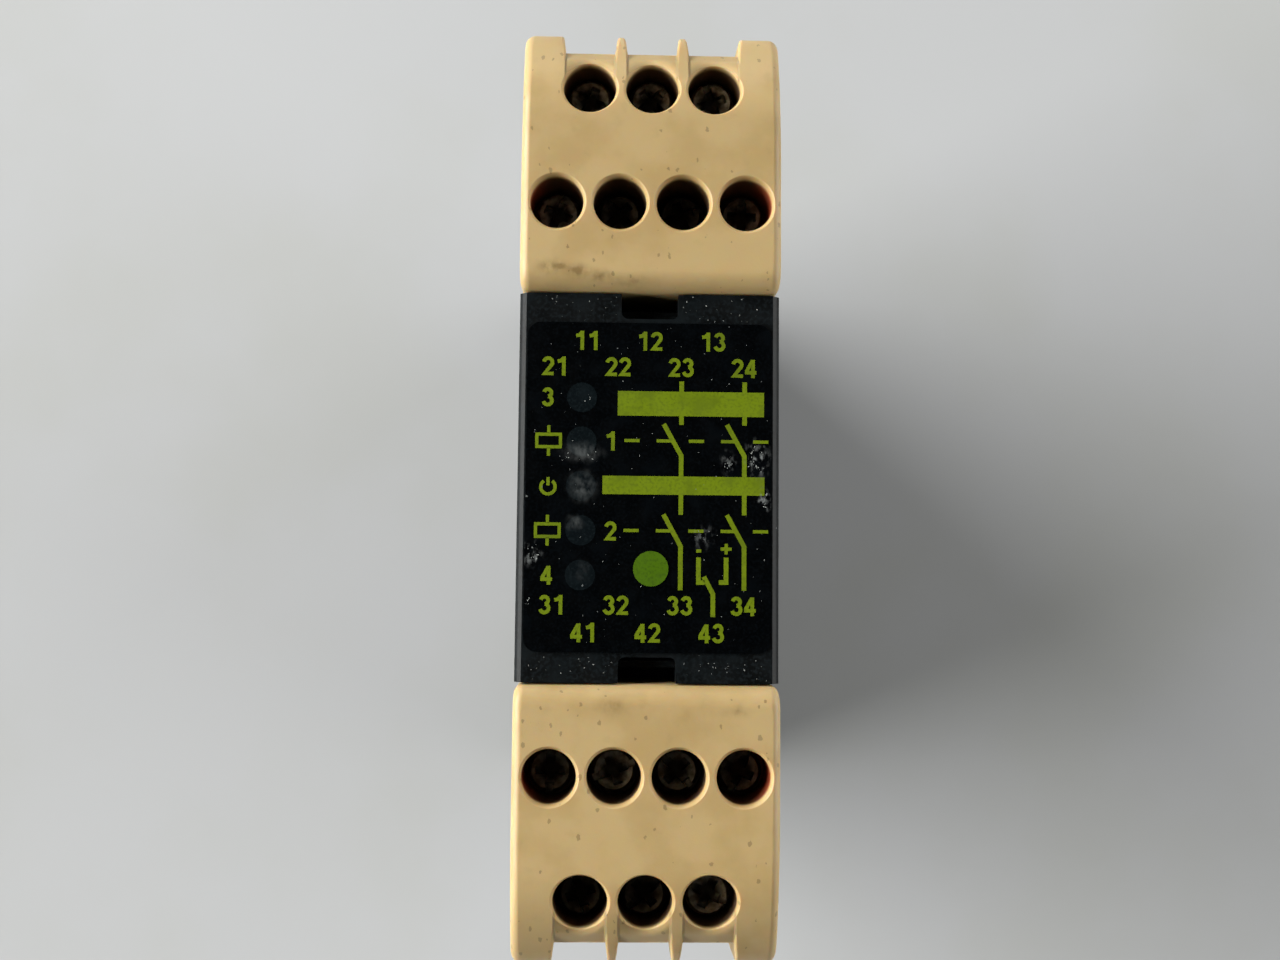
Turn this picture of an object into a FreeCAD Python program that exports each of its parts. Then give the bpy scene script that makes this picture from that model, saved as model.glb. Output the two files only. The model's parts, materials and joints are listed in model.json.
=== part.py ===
import FreeCAD, Part
import math
import os
from FreeCAD import Vector

# Safety controller that clips onto a 35 mm mounting rail, in millimetres.
# X runs along the rail, +Y is up on the cabinet wall and +Z points out at the person in front.
# The origin is the centre of the rear face, on which the controller can also stand by itself.

# Housing
HEIGHT = 84.0  # bottom to top on the cabinet wall
DEPTH = 118.0  # rear face to the front of the terminal blocks
WALL = 1.8  # walls of the housing tub
COVER_WALL = 1.8  # right-hand side cover
CORNER_RADIUS = 1.5  # housing corners, seen from the side
EDGE_ROUND = 0.8  # long edges of the black mouldings
HOUSING_PROUD = 0.95  # housing past the end of a terminal block
VENT_COUNT = 9
VENT_LENGTH = 12.0
VENT_WIDTH = 1.0
VENT_PITCH = 4.0
COLUMN_DIAMETER = 4.6  # posts that take the cover's pegs
COLUMN_INSET = 6.0  # post centre from the inner front and rear walls
PEG_DIAMETER = 2.2
PEG_LENGTH = 4.0

# Gaps
FIT = 0.1  # round pieces that stay put
RUN = 0.1  # round pieces that slide or turn
LATCH_RUN = 0.25  # round the rail latch

# Mounting rail, a 35 mm top hat with 1 mm flanges
RAIL_WIDTH = 35.0
RAIL_FLANGE = 1.0
RAIL_GAP = 0.3
REAR_LIP = 4.5  # housing behind the face that seats on the rail
HOOK_REACH = 2.2  # fixed hook and latch over the rail flange
HOOK_CHAMFER = 1.2

# Rail latch and its spring
LATCH_WIDTH = 10.0
LATCH_WING = 1.0  # side tongue that keeps the latch in its groove
LATCH_WING_THICKNESS = 1.1
LATCH_TAIL_INSET = 0.6  # pull tail from the housing's lower end
LATCH_SLOT_WIDTH = 3.4
LATCH_SLOT_LENGTH = 12.0
LATCH_SLOT_START = 6.0  # latch tip to the spring slot
LATCH_TRAVEL = 3.5
PULL_SLOT_WIDTH = 5.0  # slot in the tail for a screwdriver tip
PULL_SLOT_LENGTH = 2.0
PULL_SLOT_INSET = 1.6
POST_LENGTH = 2.0  # housing stop inside the spring slot
SPRING_WIRE = 0.4
SPRING_DIAMETER = 2.6
SPRING_TURNS = 5

# Front plate, label and lights
BLOCK_RISE = 1.5  # terminal block front above the front plate
PLATE_THICKNESS = 2.0
PLATE_BEVEL = 0.6  # slanting strip along both sides of the plate
PLATE_LUG_WIDTH = 4.0
PLATE_LUG_LENGTH = 3.0
PLATE_LUG_THICKNESS = 0.9
PLATE_LUG_OFFSET = 6.0  # lug centre from the middle of the plate
PRY_WIDTH = 5.0  # notch for levering a terminal block off
PRY_HEIGHT = 2.2
PRY_DEPTH = 5.0
PRY_RADIUS = 0.6
LABEL_SIDE = 0.75  # bare plate beside the label
LABEL_END = 2.6  # bare plate above and below the label
LABEL_RADIUS = 1.2
LABEL_THICKNESS = 0.2
STICKER_DIAMETER = 3.05
STICKER_THICKNESS = 0.1
STICKER_DROP = 7.1  # sticker below the middle of the label
STICKER_OFFSET = 0.24  # sticker right of the middle
LED_COUNT = 5
LED_PITCH = 3.85
LED_OFFSET = 5.7  # lights left of the middle
LED_DIAMETER = 2.4
LED_FLANGE = 0.35
LED_CHAMFER = 0.5
LED_STANDOFF = 3.0  # board below the front plate

# Circuit boards and the larger components
BOARD_THICKNESS = 1.6
BOARD_GAP = 0.8
BOSS_HEIGHT = 1.4  # main board off the left wall
BOSS_DIAMETER = 5.0
BOSS_INSET = 6.0  # boss centre from the board's edges
HEADER_THICKNESS = 3.0
HEADER_MARGIN = 1.7  # header past its pin rows
PIN_WIDTH = 1.0
PIN_REACH = 5.5  # pin inside the terminal block
PIN_CHAMFER = 0.3
RELAY_LENGTH = 40.0
RELAY_WIDTH = 16.0
RELAY_HEIGHT = 13.0
RELAY_SPACING = 22.0
RELAY_CHAMFER = 0.6
CAPACITOR_DIAMETER = 10.0
CAPACITOR_HEIGHT = 12.5
CAPACITOR_CHAMFER = 0.6
CAPACITOR_FRONT = 9.0  # capacitor centre from the board's front edge
CHIP_LENGTH = 12.8
CHIP_WIDTH = 7.5
CHIP_HEIGHT = 2.4
CHIP_SPACING = 16.0
CHIP_FRONT = 12.0  # chip centre from the board's front edge

# Terminal blocks: an inner row of four screws and an outer row of three
PITCH = 5.5
INNER_COUNT = 4
OUTER_COUNT = 3
BLOCK_SIDE = 0.4  # block past its outermost terminal pitch
INNER_ROW_OFFSET = 7.65  # block's inner edge to the inner row
ROW_SPACING = 10.5
END_MARGIN = 5.9  # outer row to the end of the block
FLAT_MARGIN = 2.9  # flat front past the inner row, before it curves away
NOSE_RADIUS = 34.0  # curve of the front towards the end
END_RADIUS = 2.5
INNER_RADIUS = 2.2  # front edge beside the front plate
SIDE_RADIUS = 0.9
ACCESS_DIAMETER = 4.65  # screwdriver hole
RIM_CHAMFER = 0.25
RIB_THICKNESS = 1.1  # rib between two wire pockets, at its root
RIB_DRAFT = 0.25  # taken off each side of a rib towards its tip
POCKET_DEPTH = 2.4
POCKET_LEAD = 0.8  # slope from the front into a wire pocket, up the height
POCKET_LEAD_DEPTH = 1.0  # same slope, into the depth
CELL_WALL = 0.8
WIRE_WIDTH = 3.6
WIRE_SPACE = 3.2  # wire room below the current bar of an open clamp
WIRE_FUNNEL = 0.4
GUIDE_WIDTH = 3.0  # keyed rib that leads the block onto its pins
GUIDE_HEIGHT = 0.9

# Clamp screws, rising clamps and current bars
HEAD_RECESS = 4.0  # screw head below the block's front
HEAD_DIAMETER = 3.9
HEAD_HEIGHT = 1.6
HEAD_CHAMFER = 0.3
SLOT_WIDTH = 0.6
SLOT_DEPTH = 0.7
CROSS_WIDTH = 0.8
CROSS_LENGTH = 2.6
CROSS_DEPTH = 1.1
SHANK_DIAMETER = 2.9
SCREW_WEB = 0.8  # web that the screw head bears on
SCREW_STEP = 67.0  # degrees between the rest angles of neighbouring screws
CLAMP_TRAVEL = 2.6
CLAMP_LENGTH = 4.6
CLAMP_HEAD = 1.4  # tapped wall of the clamp
CLAMP_WALL = 0.6
CLAMP_FLOOR = 0.8
BAR_THICKNESS = 0.8
LEG_WIDTH = 1.0
SOCKET_WIDTH = 2.2
SOCKET_LENGTH = 6.5

# Places across the width
width = INNER_COUNT * PITCH + 2 * BLOCK_SIDE
side = width / 2
inner_left = WALL - side
inner_right = side - COVER_WALL
board_left = inner_left + BOSS_HEIGHT
board_right = board_left + BOARD_THICKNESS
inner_columns = [(i - (INNER_COUNT - 1) / 2) * PITCH for i in range(INNER_COUNT)]
outer_columns = [(i - (OUTER_COUNT - 1) / 2) * PITCH for i in range(OUTER_COUNT)]

# Places up the height
half = HEIGHT / 2
panel_half = half - HOUSING_PROUD - INNER_ROW_OFFSET - ROW_SPACING - END_MARGIN
tongue_half = panel_half - FIT
row_inner = panel_half + INNER_ROW_OFFSET
row_outer = row_inner + ROW_SPACING
block_end = row_outer + END_MARGIN
pocket_wall = block_end - POCKET_DEPTH
curve_start = row_inner + FLAT_MARGIN
cell_width = PITCH - CELL_WALL
cell_length = CLAMP_LENGTH + 2 * RUN
clamp_width = cell_width - 2 * RUN
clamp_bore = clamp_width - 2 * CLAMP_WALL
bar_width = clamp_bore - 2 * RUN
outer_leg = (row_inner + row_outer) / 2
inner_leg = row_inner - cell_length / 2 - CELL_WALL - FIT - SOCKET_WIDTH / 2
column_up = half - WALL - COLUMN_DIAMETER / 2 + FIT
board_half = column_up - COLUMN_DIAMETER / 2 - BOARD_GAP
rail_edge = RAIL_WIDTH / 2 + RAIL_GAP
hook_tip = RAIL_WIDTH / 2 - HOOK_REACH

# Depths below the front of a terminal block
head_base = HEAD_RECESS + HEAD_HEIGHT
web_top = head_base + RUN
web_base = web_top + SCREW_WEB
clamp_room = CLAMP_HEAD + CLAMP_TRAVEL + 2 * RUN
upper_bar = web_base + clamp_room
upper_base = upper_bar + BAR_THICKNESS + WIRE_SPACE + CLAMP_FLOOR + RUN
lower_bar = upper_base + CELL_WALL - BAR_THICKNESS
lower_base = lower_bar + BAR_THICKNESS + WIRE_SPACE + CLAMP_FLOOR + RUN
socket_top = lower_base + CELL_WALL
block_depth = socket_top + SOCKET_LENGTH

# Heights above the rear face
seat = REAR_LIP
bay = DEPTH - block_depth - RUN
panel = DEPTH - BLOCK_RISE
plate_back = panel - PLATE_THICKNESS
guide_top = plate_back - PRY_DEPTH - WALL
led_board_top = plate_back - LED_STANDOFF
led_board_base = led_board_top - BOARD_THICKNESS
header_base = bay - WALL - HEADER_THICKNESS
connector_base = header_base - BOARD_THICKNESS
board_rear = seat + WALL + BOARD_GAP
chip_rear = connector_base - CHIP_FRONT - CHIP_LENGTH / 2
relay_rear = (board_rear + chip_rear - RELAY_LENGTH) / 2
flange_back = seat - RAIL_FLANGE - RAIL_GAP
latch_floor = flange_back + LATCH_RUN


def level(depth):
    """Height above the rear face of a depth below the terminal block front."""
    return DEPTH - depth


def box(x0, x1, y0, y1, z0, z1):
    return Part.makeBox(x1 - x0, y1 - y0, z1 - z0, Vector(x0, y0, z0))


def rod(diameter, x, y, z0, z1):
    return Part.makeCylinder(diameter / 2, z1 - z0, Vector(x, y, z0))


def cross_rod(diameter, x0, x1, y, z):
    return Part.makeCylinder(diameter / 2, x1 - x0, Vector(x0, y, z), Vector(1, 0, 0))


def side_prism(points, x0, x1):
    """Extrude an outline of (y, z) points along X."""
    corners = [Vector(x0, y, z) for y, z in points]
    face = Part.Face(Part.makePolygon(corners + corners[:1]))
    return face.extrude(Vector(x1 - x0, 0, 0))


def round_edges(shape, radius, wanted):
    edges = [edge for edge in shape.Edges if wanted(edge)]
    return shape.makeFillet(radius, edges)


def bevel_edges(shape, size, wanted):
    edges = [edge for edge in shape.Edges if wanted(edge)]
    return shape.makeChamfer(size, edges)


def fused(shapes):
    return shapes[0].multiFuse(shapes[1:]).removeSplitter()


def half_turn(shape):
    """Same piece for the lower terminal block, turned about the depth axis."""
    turned = shape.copy()
    turned.rotate(Vector(0, 0, 0), Vector(0, 0, 1), 180)
    return turned


def cut_each(shape, cuts):
    for piece in cuts:
        shape = shape.cut(piece)
    return shape


def save(name, shape):
    shape.exportStep(f"parts/{name}.step")


def housing_outline():
    """Side view of the black housing, with the rail channel and its fixed hook."""
    return [
        (-tongue_half, plate_back),
        (tongue_half, plate_back),
        (tongue_half, bay),
        (half, bay),
        (half, 0),
        (hook_tip + HOOK_CHAMFER, 0),
        (hook_tip, HOOK_CHAMFER),
        (hook_tip, flange_back),
        (rail_edge, flange_back),
        (rail_edge, seat),
        (-rail_edge, seat),
        (-rail_edge, 0),
        (-half, 0),
        (-half, bay),
        (-tongue_half, bay),
    ]


def hollow_outline():
    """Inside of the tub, open at the front where the front plate closes it."""
    inner = half - WALL
    tongue = tongue_half - WALL
    return [
        (-tongue, plate_back + WALL),
        (tongue, plate_back + WALL),
        (tongue, bay - WALL),
        (inner, bay - WALL),
        (inner, WALL),
        (rail_edge + WALL, WALL),
        (rail_edge + WALL, seat + WALL),
        (-inner, seat + WALL),
        (-inner, bay - WALL),
        (-tongue, bay - WALL),
    ]


def is_outer_corner(edge):
    """True for the four long corners at the housing's ends."""
    middle = edge.CenterOfMass
    at_end = abs(abs(middle.y) - half) < FIT
    at_corner = abs(middle.z) < FIT or abs(middle.z - bay) < FIT
    return at_end and at_corner and edge.BoundBox.XLength > COVER_WALL / 2


def housing_shell(x0, x1):
    return round_edges(side_prism(housing_outline(), x0, x1), CORNER_RADIUS, is_outer_corner)


def round_side(shape, x):
    """Round the long edges of one side face, away from the rail channel."""

    def wanted(edge):
        bounds = edge.BoundBox
        on_side = abs(bounds.XMin - x) < FIT and bounds.XLength < FIT
        in_channel = bounds.ZMax < seat + FIT and abs(edge.CenterOfMass.y) < half - FIT
        return on_side and not in_channel

    return round_edges(shape, EDGE_ROUND, wanted)


def column_places():
    front = bay - WALL - COLUMN_INSET
    rear = seat + WALL + COLUMN_INSET
    return [(y, z) for y in (-column_up, column_up) for z in (rear, front)]


def boss_places():
    front = connector_base - BOSS_INSET
    rear = board_rear + BOSS_INSET
    up = board_half - BOSS_INSET
    return [(y, z) for y in (-up, up) for z in (rear, front)]


def pin_places():
    inner = [(x, inner_leg) for x in inner_columns]
    outer = [(x, outer_leg) for x in outer_columns]
    return inner + outer


def square_at(x, y, size, z0, z1):
    return box(x - size / 2, x + size / 2, y - size / 2, y + size / 2, z0, z1)


def vent_cuts():
    middle = (inner_right - side) / 2
    centre = (bay - WALL + seat) / 2
    cuts = []
    x0 = middle - VENT_LENGTH / 2
    for i in range(VENT_COUNT):
        z0 = centre + (i - (VENT_COUNT - 1) / 2) * VENT_PITCH - VENT_WIDTH / 2
        slot = box(x0, x0 + VENT_LENGTH, half - 2 * WALL, half + WALL, z0, z0 + VENT_WIDTH)
        cuts.append(slot)
        cuts.append(half_turn(slot).translated(Vector(2 * middle, 0, 0)))
    return cuts


def latch_groove():
    """T-shaped groove in the lower rear foot, with a stop for the latch spring left standing."""
    wing = LATCH_WING_THICKNESS + 2 * LATCH_RUN
    narrow = LATCH_WIDTH / 2 + LATCH_RUN
    wide = narrow + LATCH_WING
    floor = latch_floor
    mouth = box(-narrow, narrow, -half - WALL, -rail_edge + WALL, -WALL, floor)
    tongues = box(-wide, wide, -half - WALL, -rail_edge + WALL, floor - wing, floor)
    return fused([mouth, tongues])


def spring_slot():
    """Upper and lower end of the latch's spring slot."""
    upper = -hook_tip - LATCH_SLOT_START
    return upper - LATCH_SLOT_LENGTH, upper


def spring_stop():
    lower = spring_slot()[0] + RUN
    reach = LATCH_SLOT_WIDTH / 2 - LATCH_RUN
    return box(-reach, reach, lower, lower + POST_LENGTH, LATCH_RUN, latch_floor + WALL / 2)


def housing_tub():
    shell = round_side(housing_shell(-side, inner_right), -side)
    hollow = side_prism(hollow_outline(), inner_left, side)
    tub = shell.cut(hollow)
    foot = inner_left - FIT
    added = [cross_rod(COLUMN_DIAMETER, foot, inner_right, y, z) for y, z in column_places()]
    added += [cross_rod(BOSS_DIAMETER, foot, board_left, y, z) for y, z in boss_places()]
    root = tongue_half - WALL / 2
    crest = tongue_half + GUIDE_HEIGHT
    guide = box(-GUIDE_WIDTH / 2, GUIDE_WIDTH / 2, root, crest, bay - WALL / 2, guide_top)
    added += [guide, half_turn(guide)]
    tub = fused([tub] + added)
    holes = vent_cuts()
    for y, z in column_places():
        holes.append(cross_rod(PEG_DIAMETER + 2 * FIT, inner_right - PEG_LENGTH - FIT, side, y, z))
    for x, y in pin_places():
        hole = square_at(x, y, PIN_WIDTH + 2 * FIT, bay - 2 * WALL, bay + WALL)
        holes += [hole, half_turn(hole)]
    pry_floor = tongue_half - 2 * WALL / 3
    pry_end = plate_back - PRY_DEPTH
    pocket = box(-PRY_WIDTH / 2, PRY_WIDTH / 2, pry_floor, panel_half + WALL, pry_end, panel)
    holes += [pocket, half_turn(pocket)]
    holes.append(latch_groove().cut(spring_stop()))
    return cut_each(tub, holes)


def side_cover():
    cover = round_side(housing_shell(inner_right, side), side)
    peg_tip = inner_right - PEG_LENGTH
    pegs = [cross_rod(PEG_DIAMETER, peg_tip, inner_right + FIT, y, z) for y, z in column_places()]
    return fused([cover] + pegs)


def front_plate():
    plate = box(-side, side, -tongue_half, tongue_half, plate_back, panel)

    def long_front_edge(edge):
        bounds = edge.BoundBox
        return bounds.YLength > tongue_half and bounds.ZMin > panel - FIT

    plate = bevel_edges(plate, PLATE_BEVEL, long_front_edge)
    lugs = []
    lug_top = tongue_half - WALL - FIT
    lug_root = lug_top - PLATE_LUG_THICKNESS
    lug_end = plate_back - PLATE_LUG_LENGTH
    for x in (-PLATE_LUG_OFFSET, PLATE_LUG_OFFSET):
        x0 = x - PLATE_LUG_WIDTH / 2
        lug = box(x0, x0 + PLATE_LUG_WIDTH, lug_root, lug_top, lug_end, panel - PLATE_BEVEL)
        lugs += [lug, half_turn(lug)]
    plate = fused([plate] + lugs)
    x0 = -PRY_WIDTH / 2
    y0 = tongue_half - PRY_HEIGHT
    notch = box(x0, x0 + PRY_WIDTH, y0, panel_half + WALL, plate_back - WALL, panel + WALL)

    def notch_corner(edge):
        return edge.BoundBox.ZLength > PLATE_THICKNESS and edge.CenterOfMass.y < tongue_half

    notch = round_edges(notch, PRY_RADIUS, notch_corner)
    holes = [notch, half_turn(notch)]
    for y in led_rows():
        holes.append(rod(LED_DIAMETER + 2 * FIT, -LED_OFFSET, y, plate_back - WALL, panel + WALL))
    return cut_each(plate, holes)


def led_rows():
    return [(i - (LED_COUNT - 1) / 2) * LED_PITCH for i in range(LED_COUNT)]


def front_label():
    label_half = tongue_half - LABEL_END
    label_side = side - LABEL_SIDE
    sheet = box(-label_side, label_side, -label_half, label_half, panel, panel + LABEL_THICKNESS)

    def corner(edge):
        return edge.BoundBox.ZLength > LABEL_THICKNESS / 2

    return round_edges(sheet, LABEL_RADIUS, corner)


def check_sticker():
    base = panel + LABEL_THICKNESS
    return rod(STICKER_DIAMETER, STICKER_OFFSET, -STICKER_DROP, base, base + STICKER_THICKNESS)


def status_led(y):
    """Round light: flange on the board and a straight body whose tip ends just under the label."""
    tip = panel - FIT
    flange = rod(LED_DIAMETER + 2 * LED_FLANGE, -LED_OFFSET, y, led_board_top, led_board_top + LED_FLANGE)
    body = rod(LED_DIAMETER, -LED_OFFSET, y, led_board_top, tip)
    body = bevel_edges(body, LED_CHAMFER, lambda edge: edge.BoundBox.ZMin > tip - FIT)
    return fused([flange, body])


def led_board():
    up = tongue_half - WALL - FIT - PLATE_LUG_THICKNESS - BOARD_GAP
    return box(inner_left + BOARD_GAP, inner_right - BOARD_GAP, -up, up, led_board_base, led_board_top)


def main_board():
    """T-shaped board: wide behind the terminal bays, narrow where it runs up to the lights."""
    tongue = tongue_half - WALL - BOARD_GAP
    outline = [
        (-board_half, board_rear),
        (board_half, board_rear),
        (board_half, connector_base),
        (tongue, connector_base),
        (tongue, led_board_base),
        (-tongue, led_board_base),
        (-tongue, connector_base),
        (-board_half, connector_base),
    ]
    return side_prism(outline, board_left, board_right)


def relay(y):
    top = board_right + RELAY_HEIGHT
    y0 = y - RELAY_WIDTH / 2
    case = box(board_right, top, y0, y0 + RELAY_WIDTH, relay_rear, relay_rear + RELAY_LENGTH)
    return bevel_edges(case, RELAY_CHAMFER, lambda edge: edge.BoundBox.XMin > top - FIT)


def supply_capacitor():
    z = connector_base - CAPACITOR_FRONT
    top = board_right + CAPACITOR_HEIGHT
    can = cross_rod(CAPACITOR_DIAMETER, board_right, top, 0, z)
    return bevel_edges(can, CAPACITOR_CHAMFER, lambda edge: edge.BoundBox.XMin > top - FIT)


def controller_chip(y):
    y0 = y - CHIP_WIDTH / 2
    top = board_right + CHIP_HEIGHT
    return box(board_right, top, y0, y0 + CHIP_WIDTH, chip_rear, chip_rear + CHIP_LENGTH)


def header_span():
    """Lower and upper edge of the upper pin header and its board."""
    return inner_leg - HEADER_MARGIN, outer_leg + HEADER_MARGIN


def pin_cuts(size):
    return [square_at(x, y, size, connector_base - WALL, bay + WALL) for x, y in pin_places()]


def pin_header():
    low, high = header_span()
    strip = box(inner_left + FIT, inner_right - FIT, low, high, header_base, bay - WALL)
    return strip.cut(pin_cuts(PIN_WIDTH))


def connector_board():
    low, high = header_span()
    board = box(inner_left + FIT, inner_right - FIT, low, high, connector_base, header_base)
    return board.cut(pin_cuts(PIN_WIDTH))


def header_pins():
    """Square pins with bevelled tips, from the board up into the terminal block's sockets."""
    tip = bay + PIN_REACH
    pins = []
    for x, y in pin_places():
        pin = square_at(x, y, PIN_WIDTH, connector_base, tip)
        pins.append(bevel_edges(pin, PIN_CHAMFER, lambda edge: edge.BoundBox.ZMin > tip - FIT))
    return Part.makeCompound(pins)


def rail_latch():
    """Sprung foot: a hook for the rail's lower flange, side tongues, a spring slot and a pull tail."""
    top = flange_back
    tip = -hook_tip
    tail = LATCH_TAIL_INSET - half
    outline = [
        (tail, LATCH_RUN),
        (tip - HOOK_CHAMFER, LATCH_RUN),
        (tip, LATCH_RUN + HOOK_CHAMFER),
        (tip, top),
        (tail, top),
    ]
    body = side_prism(outline, -LATCH_WIDTH / 2, LATCH_WIDTH / 2)
    wing_side = LATCH_WIDTH / 2 + LATCH_WING
    wing_end = -rail_edge - LATCH_TRAVEL / 2
    wings = box(-wing_side, wing_side, tail, wing_end, top - LATCH_WING_THICKNESS, top)
    latch = fused([body, wings])
    low, high = spring_slot()
    slot = box(-LATCH_SLOT_WIDTH / 2, LATCH_SLOT_WIDTH / 2, low, high, -WALL, top + WALL)
    low = tail + PULL_SLOT_INSET
    high = low + PULL_SLOT_LENGTH
    pull = box(-PULL_SLOT_WIDTH / 2, PULL_SLOT_WIDTH / 2, low, high, -WALL, top + WALL)
    return cut_each(latch, [slot, pull])


def latch_spring():
    low, high = spring_slot()
    start = low + RUN + POST_LENGTH + SPRING_WIRE / 2
    end = high - SPRING_WIRE / 2
    radius = (SPRING_DIAMETER - SPRING_WIRE) / 2
    helix = Part.makeHelix((end - start) / SPRING_TURNS, end - start, radius)
    reach = SPRING_WIRE / 2
    corners = [Vector(radius - reach, 0, -reach), Vector(radius + reach, 0, -reach)]
    corners += [Vector(radius + reach, 0, reach), Vector(radius - reach, 0, reach)]
    section = Part.makePolygon(corners + corners[:1])
    coil = Part.Wire(helix).makePipeShell([section], True, True)
    coil.rotate(Vector(0, 0, 0), Vector(1, 0, 0), -90)
    coil.translate(Vector(0, start, (LATCH_RUN + flange_back) / 2))
    return coil


def front_drop(y):
    """Depth of the block's curved front below its flat part."""
    past = max(y - curve_start, 0)
    return NOSE_RADIUS - math.sqrt(NOSE_RADIUS ** 2 - past ** 2)


def front_slope(y):
    return math.asin(max(y - curve_start, 0) / NOSE_RADIUS)


def block_solid():
    """Side view of a terminal block, extruded across the width and rounded along both sides."""
    end_centre_y = block_end - END_RADIUS
    reach = NOSE_RADIUS - END_RADIUS
    end_drop = NOSE_RADIUS - math.sqrt(reach ** 2 - (end_centre_y - curve_start) ** 2)
    turn = math.asin((end_centre_y - curve_start) / reach)

    def on_nose(angle):
        y = curve_start + NOSE_RADIUS * math.sin(angle)
        return Vector(-side, y, level(NOSE_RADIUS * (1 - math.cos(angle))))

    def on_end(angle):
        y = end_centre_y + END_RADIUS * math.sin(angle)
        return Vector(-side, y, level(end_drop - END_RADIUS * math.cos(angle)))

    def on_inner(angle):
        y = panel_half + INNER_RADIUS * (1 - math.cos(angle))
        return Vector(-side, y, level(INNER_RADIUS * (1 - math.sin(angle))))

    quarter = math.pi / 2
    rear_inner = Vector(-side, panel_half, level(block_depth))
    rear_end = Vector(-side, block_end, level(block_depth))
    edges = [
        Part.makeLine(rear_inner, on_inner(0)),
        Part.Arc(on_inner(0), on_inner(quarter / 2), on_inner(quarter)).toShape(),
        Part.makeLine(on_inner(quarter), on_nose(0)),
        Part.Arc(on_nose(0), on_nose(turn / 2), on_nose(turn)).toShape(),
        Part.Arc(on_end(turn), on_end((turn + quarter) / 2), on_end(quarter)).toShape(),
        Part.makeLine(on_end(quarter), rear_end),
        Part.makeLine(rear_end, rear_inner),
    ]
    solid = Part.Face(Part.Wire(edges)).extrude(Vector(width, 0, 0))

    def side_edge(edge):
        flat = edge.BoundBox.XLength < FIT
        return flat and edge.CenterOfMass.z > level(block_depth) + FIT

    return round_edges(solid, SIDE_RADIUS, side_edge)


def access_hole(x, y):
    """Screwdriver hole down to the web under the screw head, with a chamfer square to the front."""
    slope = front_slope(y)
    normal = Vector(0, math.sin(slope), math.cos(slope))
    centre = Vector(x, y, level(front_drop(y)))
    radius = ACCESS_DIAMETER / 2
    above = centre + normal * RIM_CHAMFER
    rim = Part.makeCone(radius + 2 * RIM_CHAMFER, radius - RIM_CHAMFER, 3 * RIM_CHAMFER, above, -normal)
    return [rod(ACCESS_DIAMETER, x, y, level(web_top), DEPTH + WALL), rim]


def wire_entry(x, cell, mouth, bar):
    """Wire tunnel from a clamp cell out to the block's end, with a funnel at its mouth."""
    roof = level(bar + BAR_THICKNESS)
    floor = roof - WIRE_SPACE
    tunnel = box(x - WIRE_WIDTH / 2, x + WIRE_WIDTH / 2, cell, mouth + WALL, floor, roof)
    left = x - WIRE_WIDTH / 2
    right = x + WIRE_WIDTH / 2
    near = mouth - WIRE_FUNNEL
    far = mouth + WIRE_FUNNEL
    grow = 2 * WIRE_FUNNEL
    low = floor - grow
    high = roof + grow
    funnel = Part.makeWedge(left, near, floor, low, left - grow, right, far, roof, high, right + grow)
    return [tunnel, funnel]


def clamp_cell(x, y, bar):
    """Room for a rising clamp, and the hole above it for the screw's shank."""
    x0 = x - cell_width / 2
    y0 = y - cell_length / 2
    top = level(bar - clamp_room)
    floor = level(bar + BAR_THICKNESS + WIRE_SPACE + CLAMP_FLOOR + RUN)
    cell = box(x0, x0 + cell_width, y0, y0 + cell_length, floor, top)
    return [cell, rod(SHANK_DIAMETER + 4 * RUN, x, y, floor, level(web_top - RUN))]


def contact(x, row, leg, bar, gap):
    """Current bar, leg and socket of one terminal, grown by a gap for its room in the block."""
    wide = bar_width / 2 + gap
    narrow = LEG_WIDTH / 2 + gap
    thin = BAR_THICKNESS / 2 + gap
    cup = SOCKET_WIDTH / 2 + gap
    bar_top = level(bar) + gap
    bar_base = level(bar + BAR_THICKNESS) - gap
    strip = box(x - wide, x + wide, leg - thin, row + cell_length / 2 - CELL_WALL, bar_base, bar_top)
    stem = box(x - narrow, x + narrow, leg - thin, leg + thin, level(socket_top) - gap, bar_top)
    socket = box(x - cup, x + cup, leg - cup, leg + cup, level(block_depth) - gap, level(socket_top) + gap)
    return fused([strip, stem, socket])


def terminals():
    """Column, row, leg place and bar depth of each terminal of the upper block."""
    inner = [(x, row_inner, inner_leg, lower_bar) for x in inner_columns]
    outer = [(x, row_outer, outer_leg, upper_bar) for x in outer_columns]
    return inner + outer


def wire_pocket(x):
    """Open pocket at the block's end, between two tapered ribs."""
    root = (PITCH - RIB_THICKNESS) / 2
    far = block_end + WALL
    spread = root + RIB_DRAFT * (far - pocket_wall) / POCKET_DEPTH
    corners = [(x - root, pocket_wall), (x + root, pocket_wall), (x + spread, far), (x - spread, far)]
    points = [Vector(a, b, level(upper_base)) for a, b in corners]
    face = Part.Face(Part.makePolygon(points + points[:1]))
    return face.extrude(Vector(0, 0, upper_base + WALL))


def pocket_lead(x):
    """Slope that leads from the block's front into a wire pocket."""
    root = (PITCH - RIB_THICKNESS) / 2
    start = pocket_wall - POCKET_LEAD
    front = level(front_drop(start))
    low = front - POCKET_LEAD_DEPTH
    high = front + POCKET_LEAD_DEPTH
    far = block_end + WALL
    outline = [(pocket_wall, low), (far, low), (far, high), (start - POCKET_LEAD, high)]
    return side_prism(outline, x - root, x + root)


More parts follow.
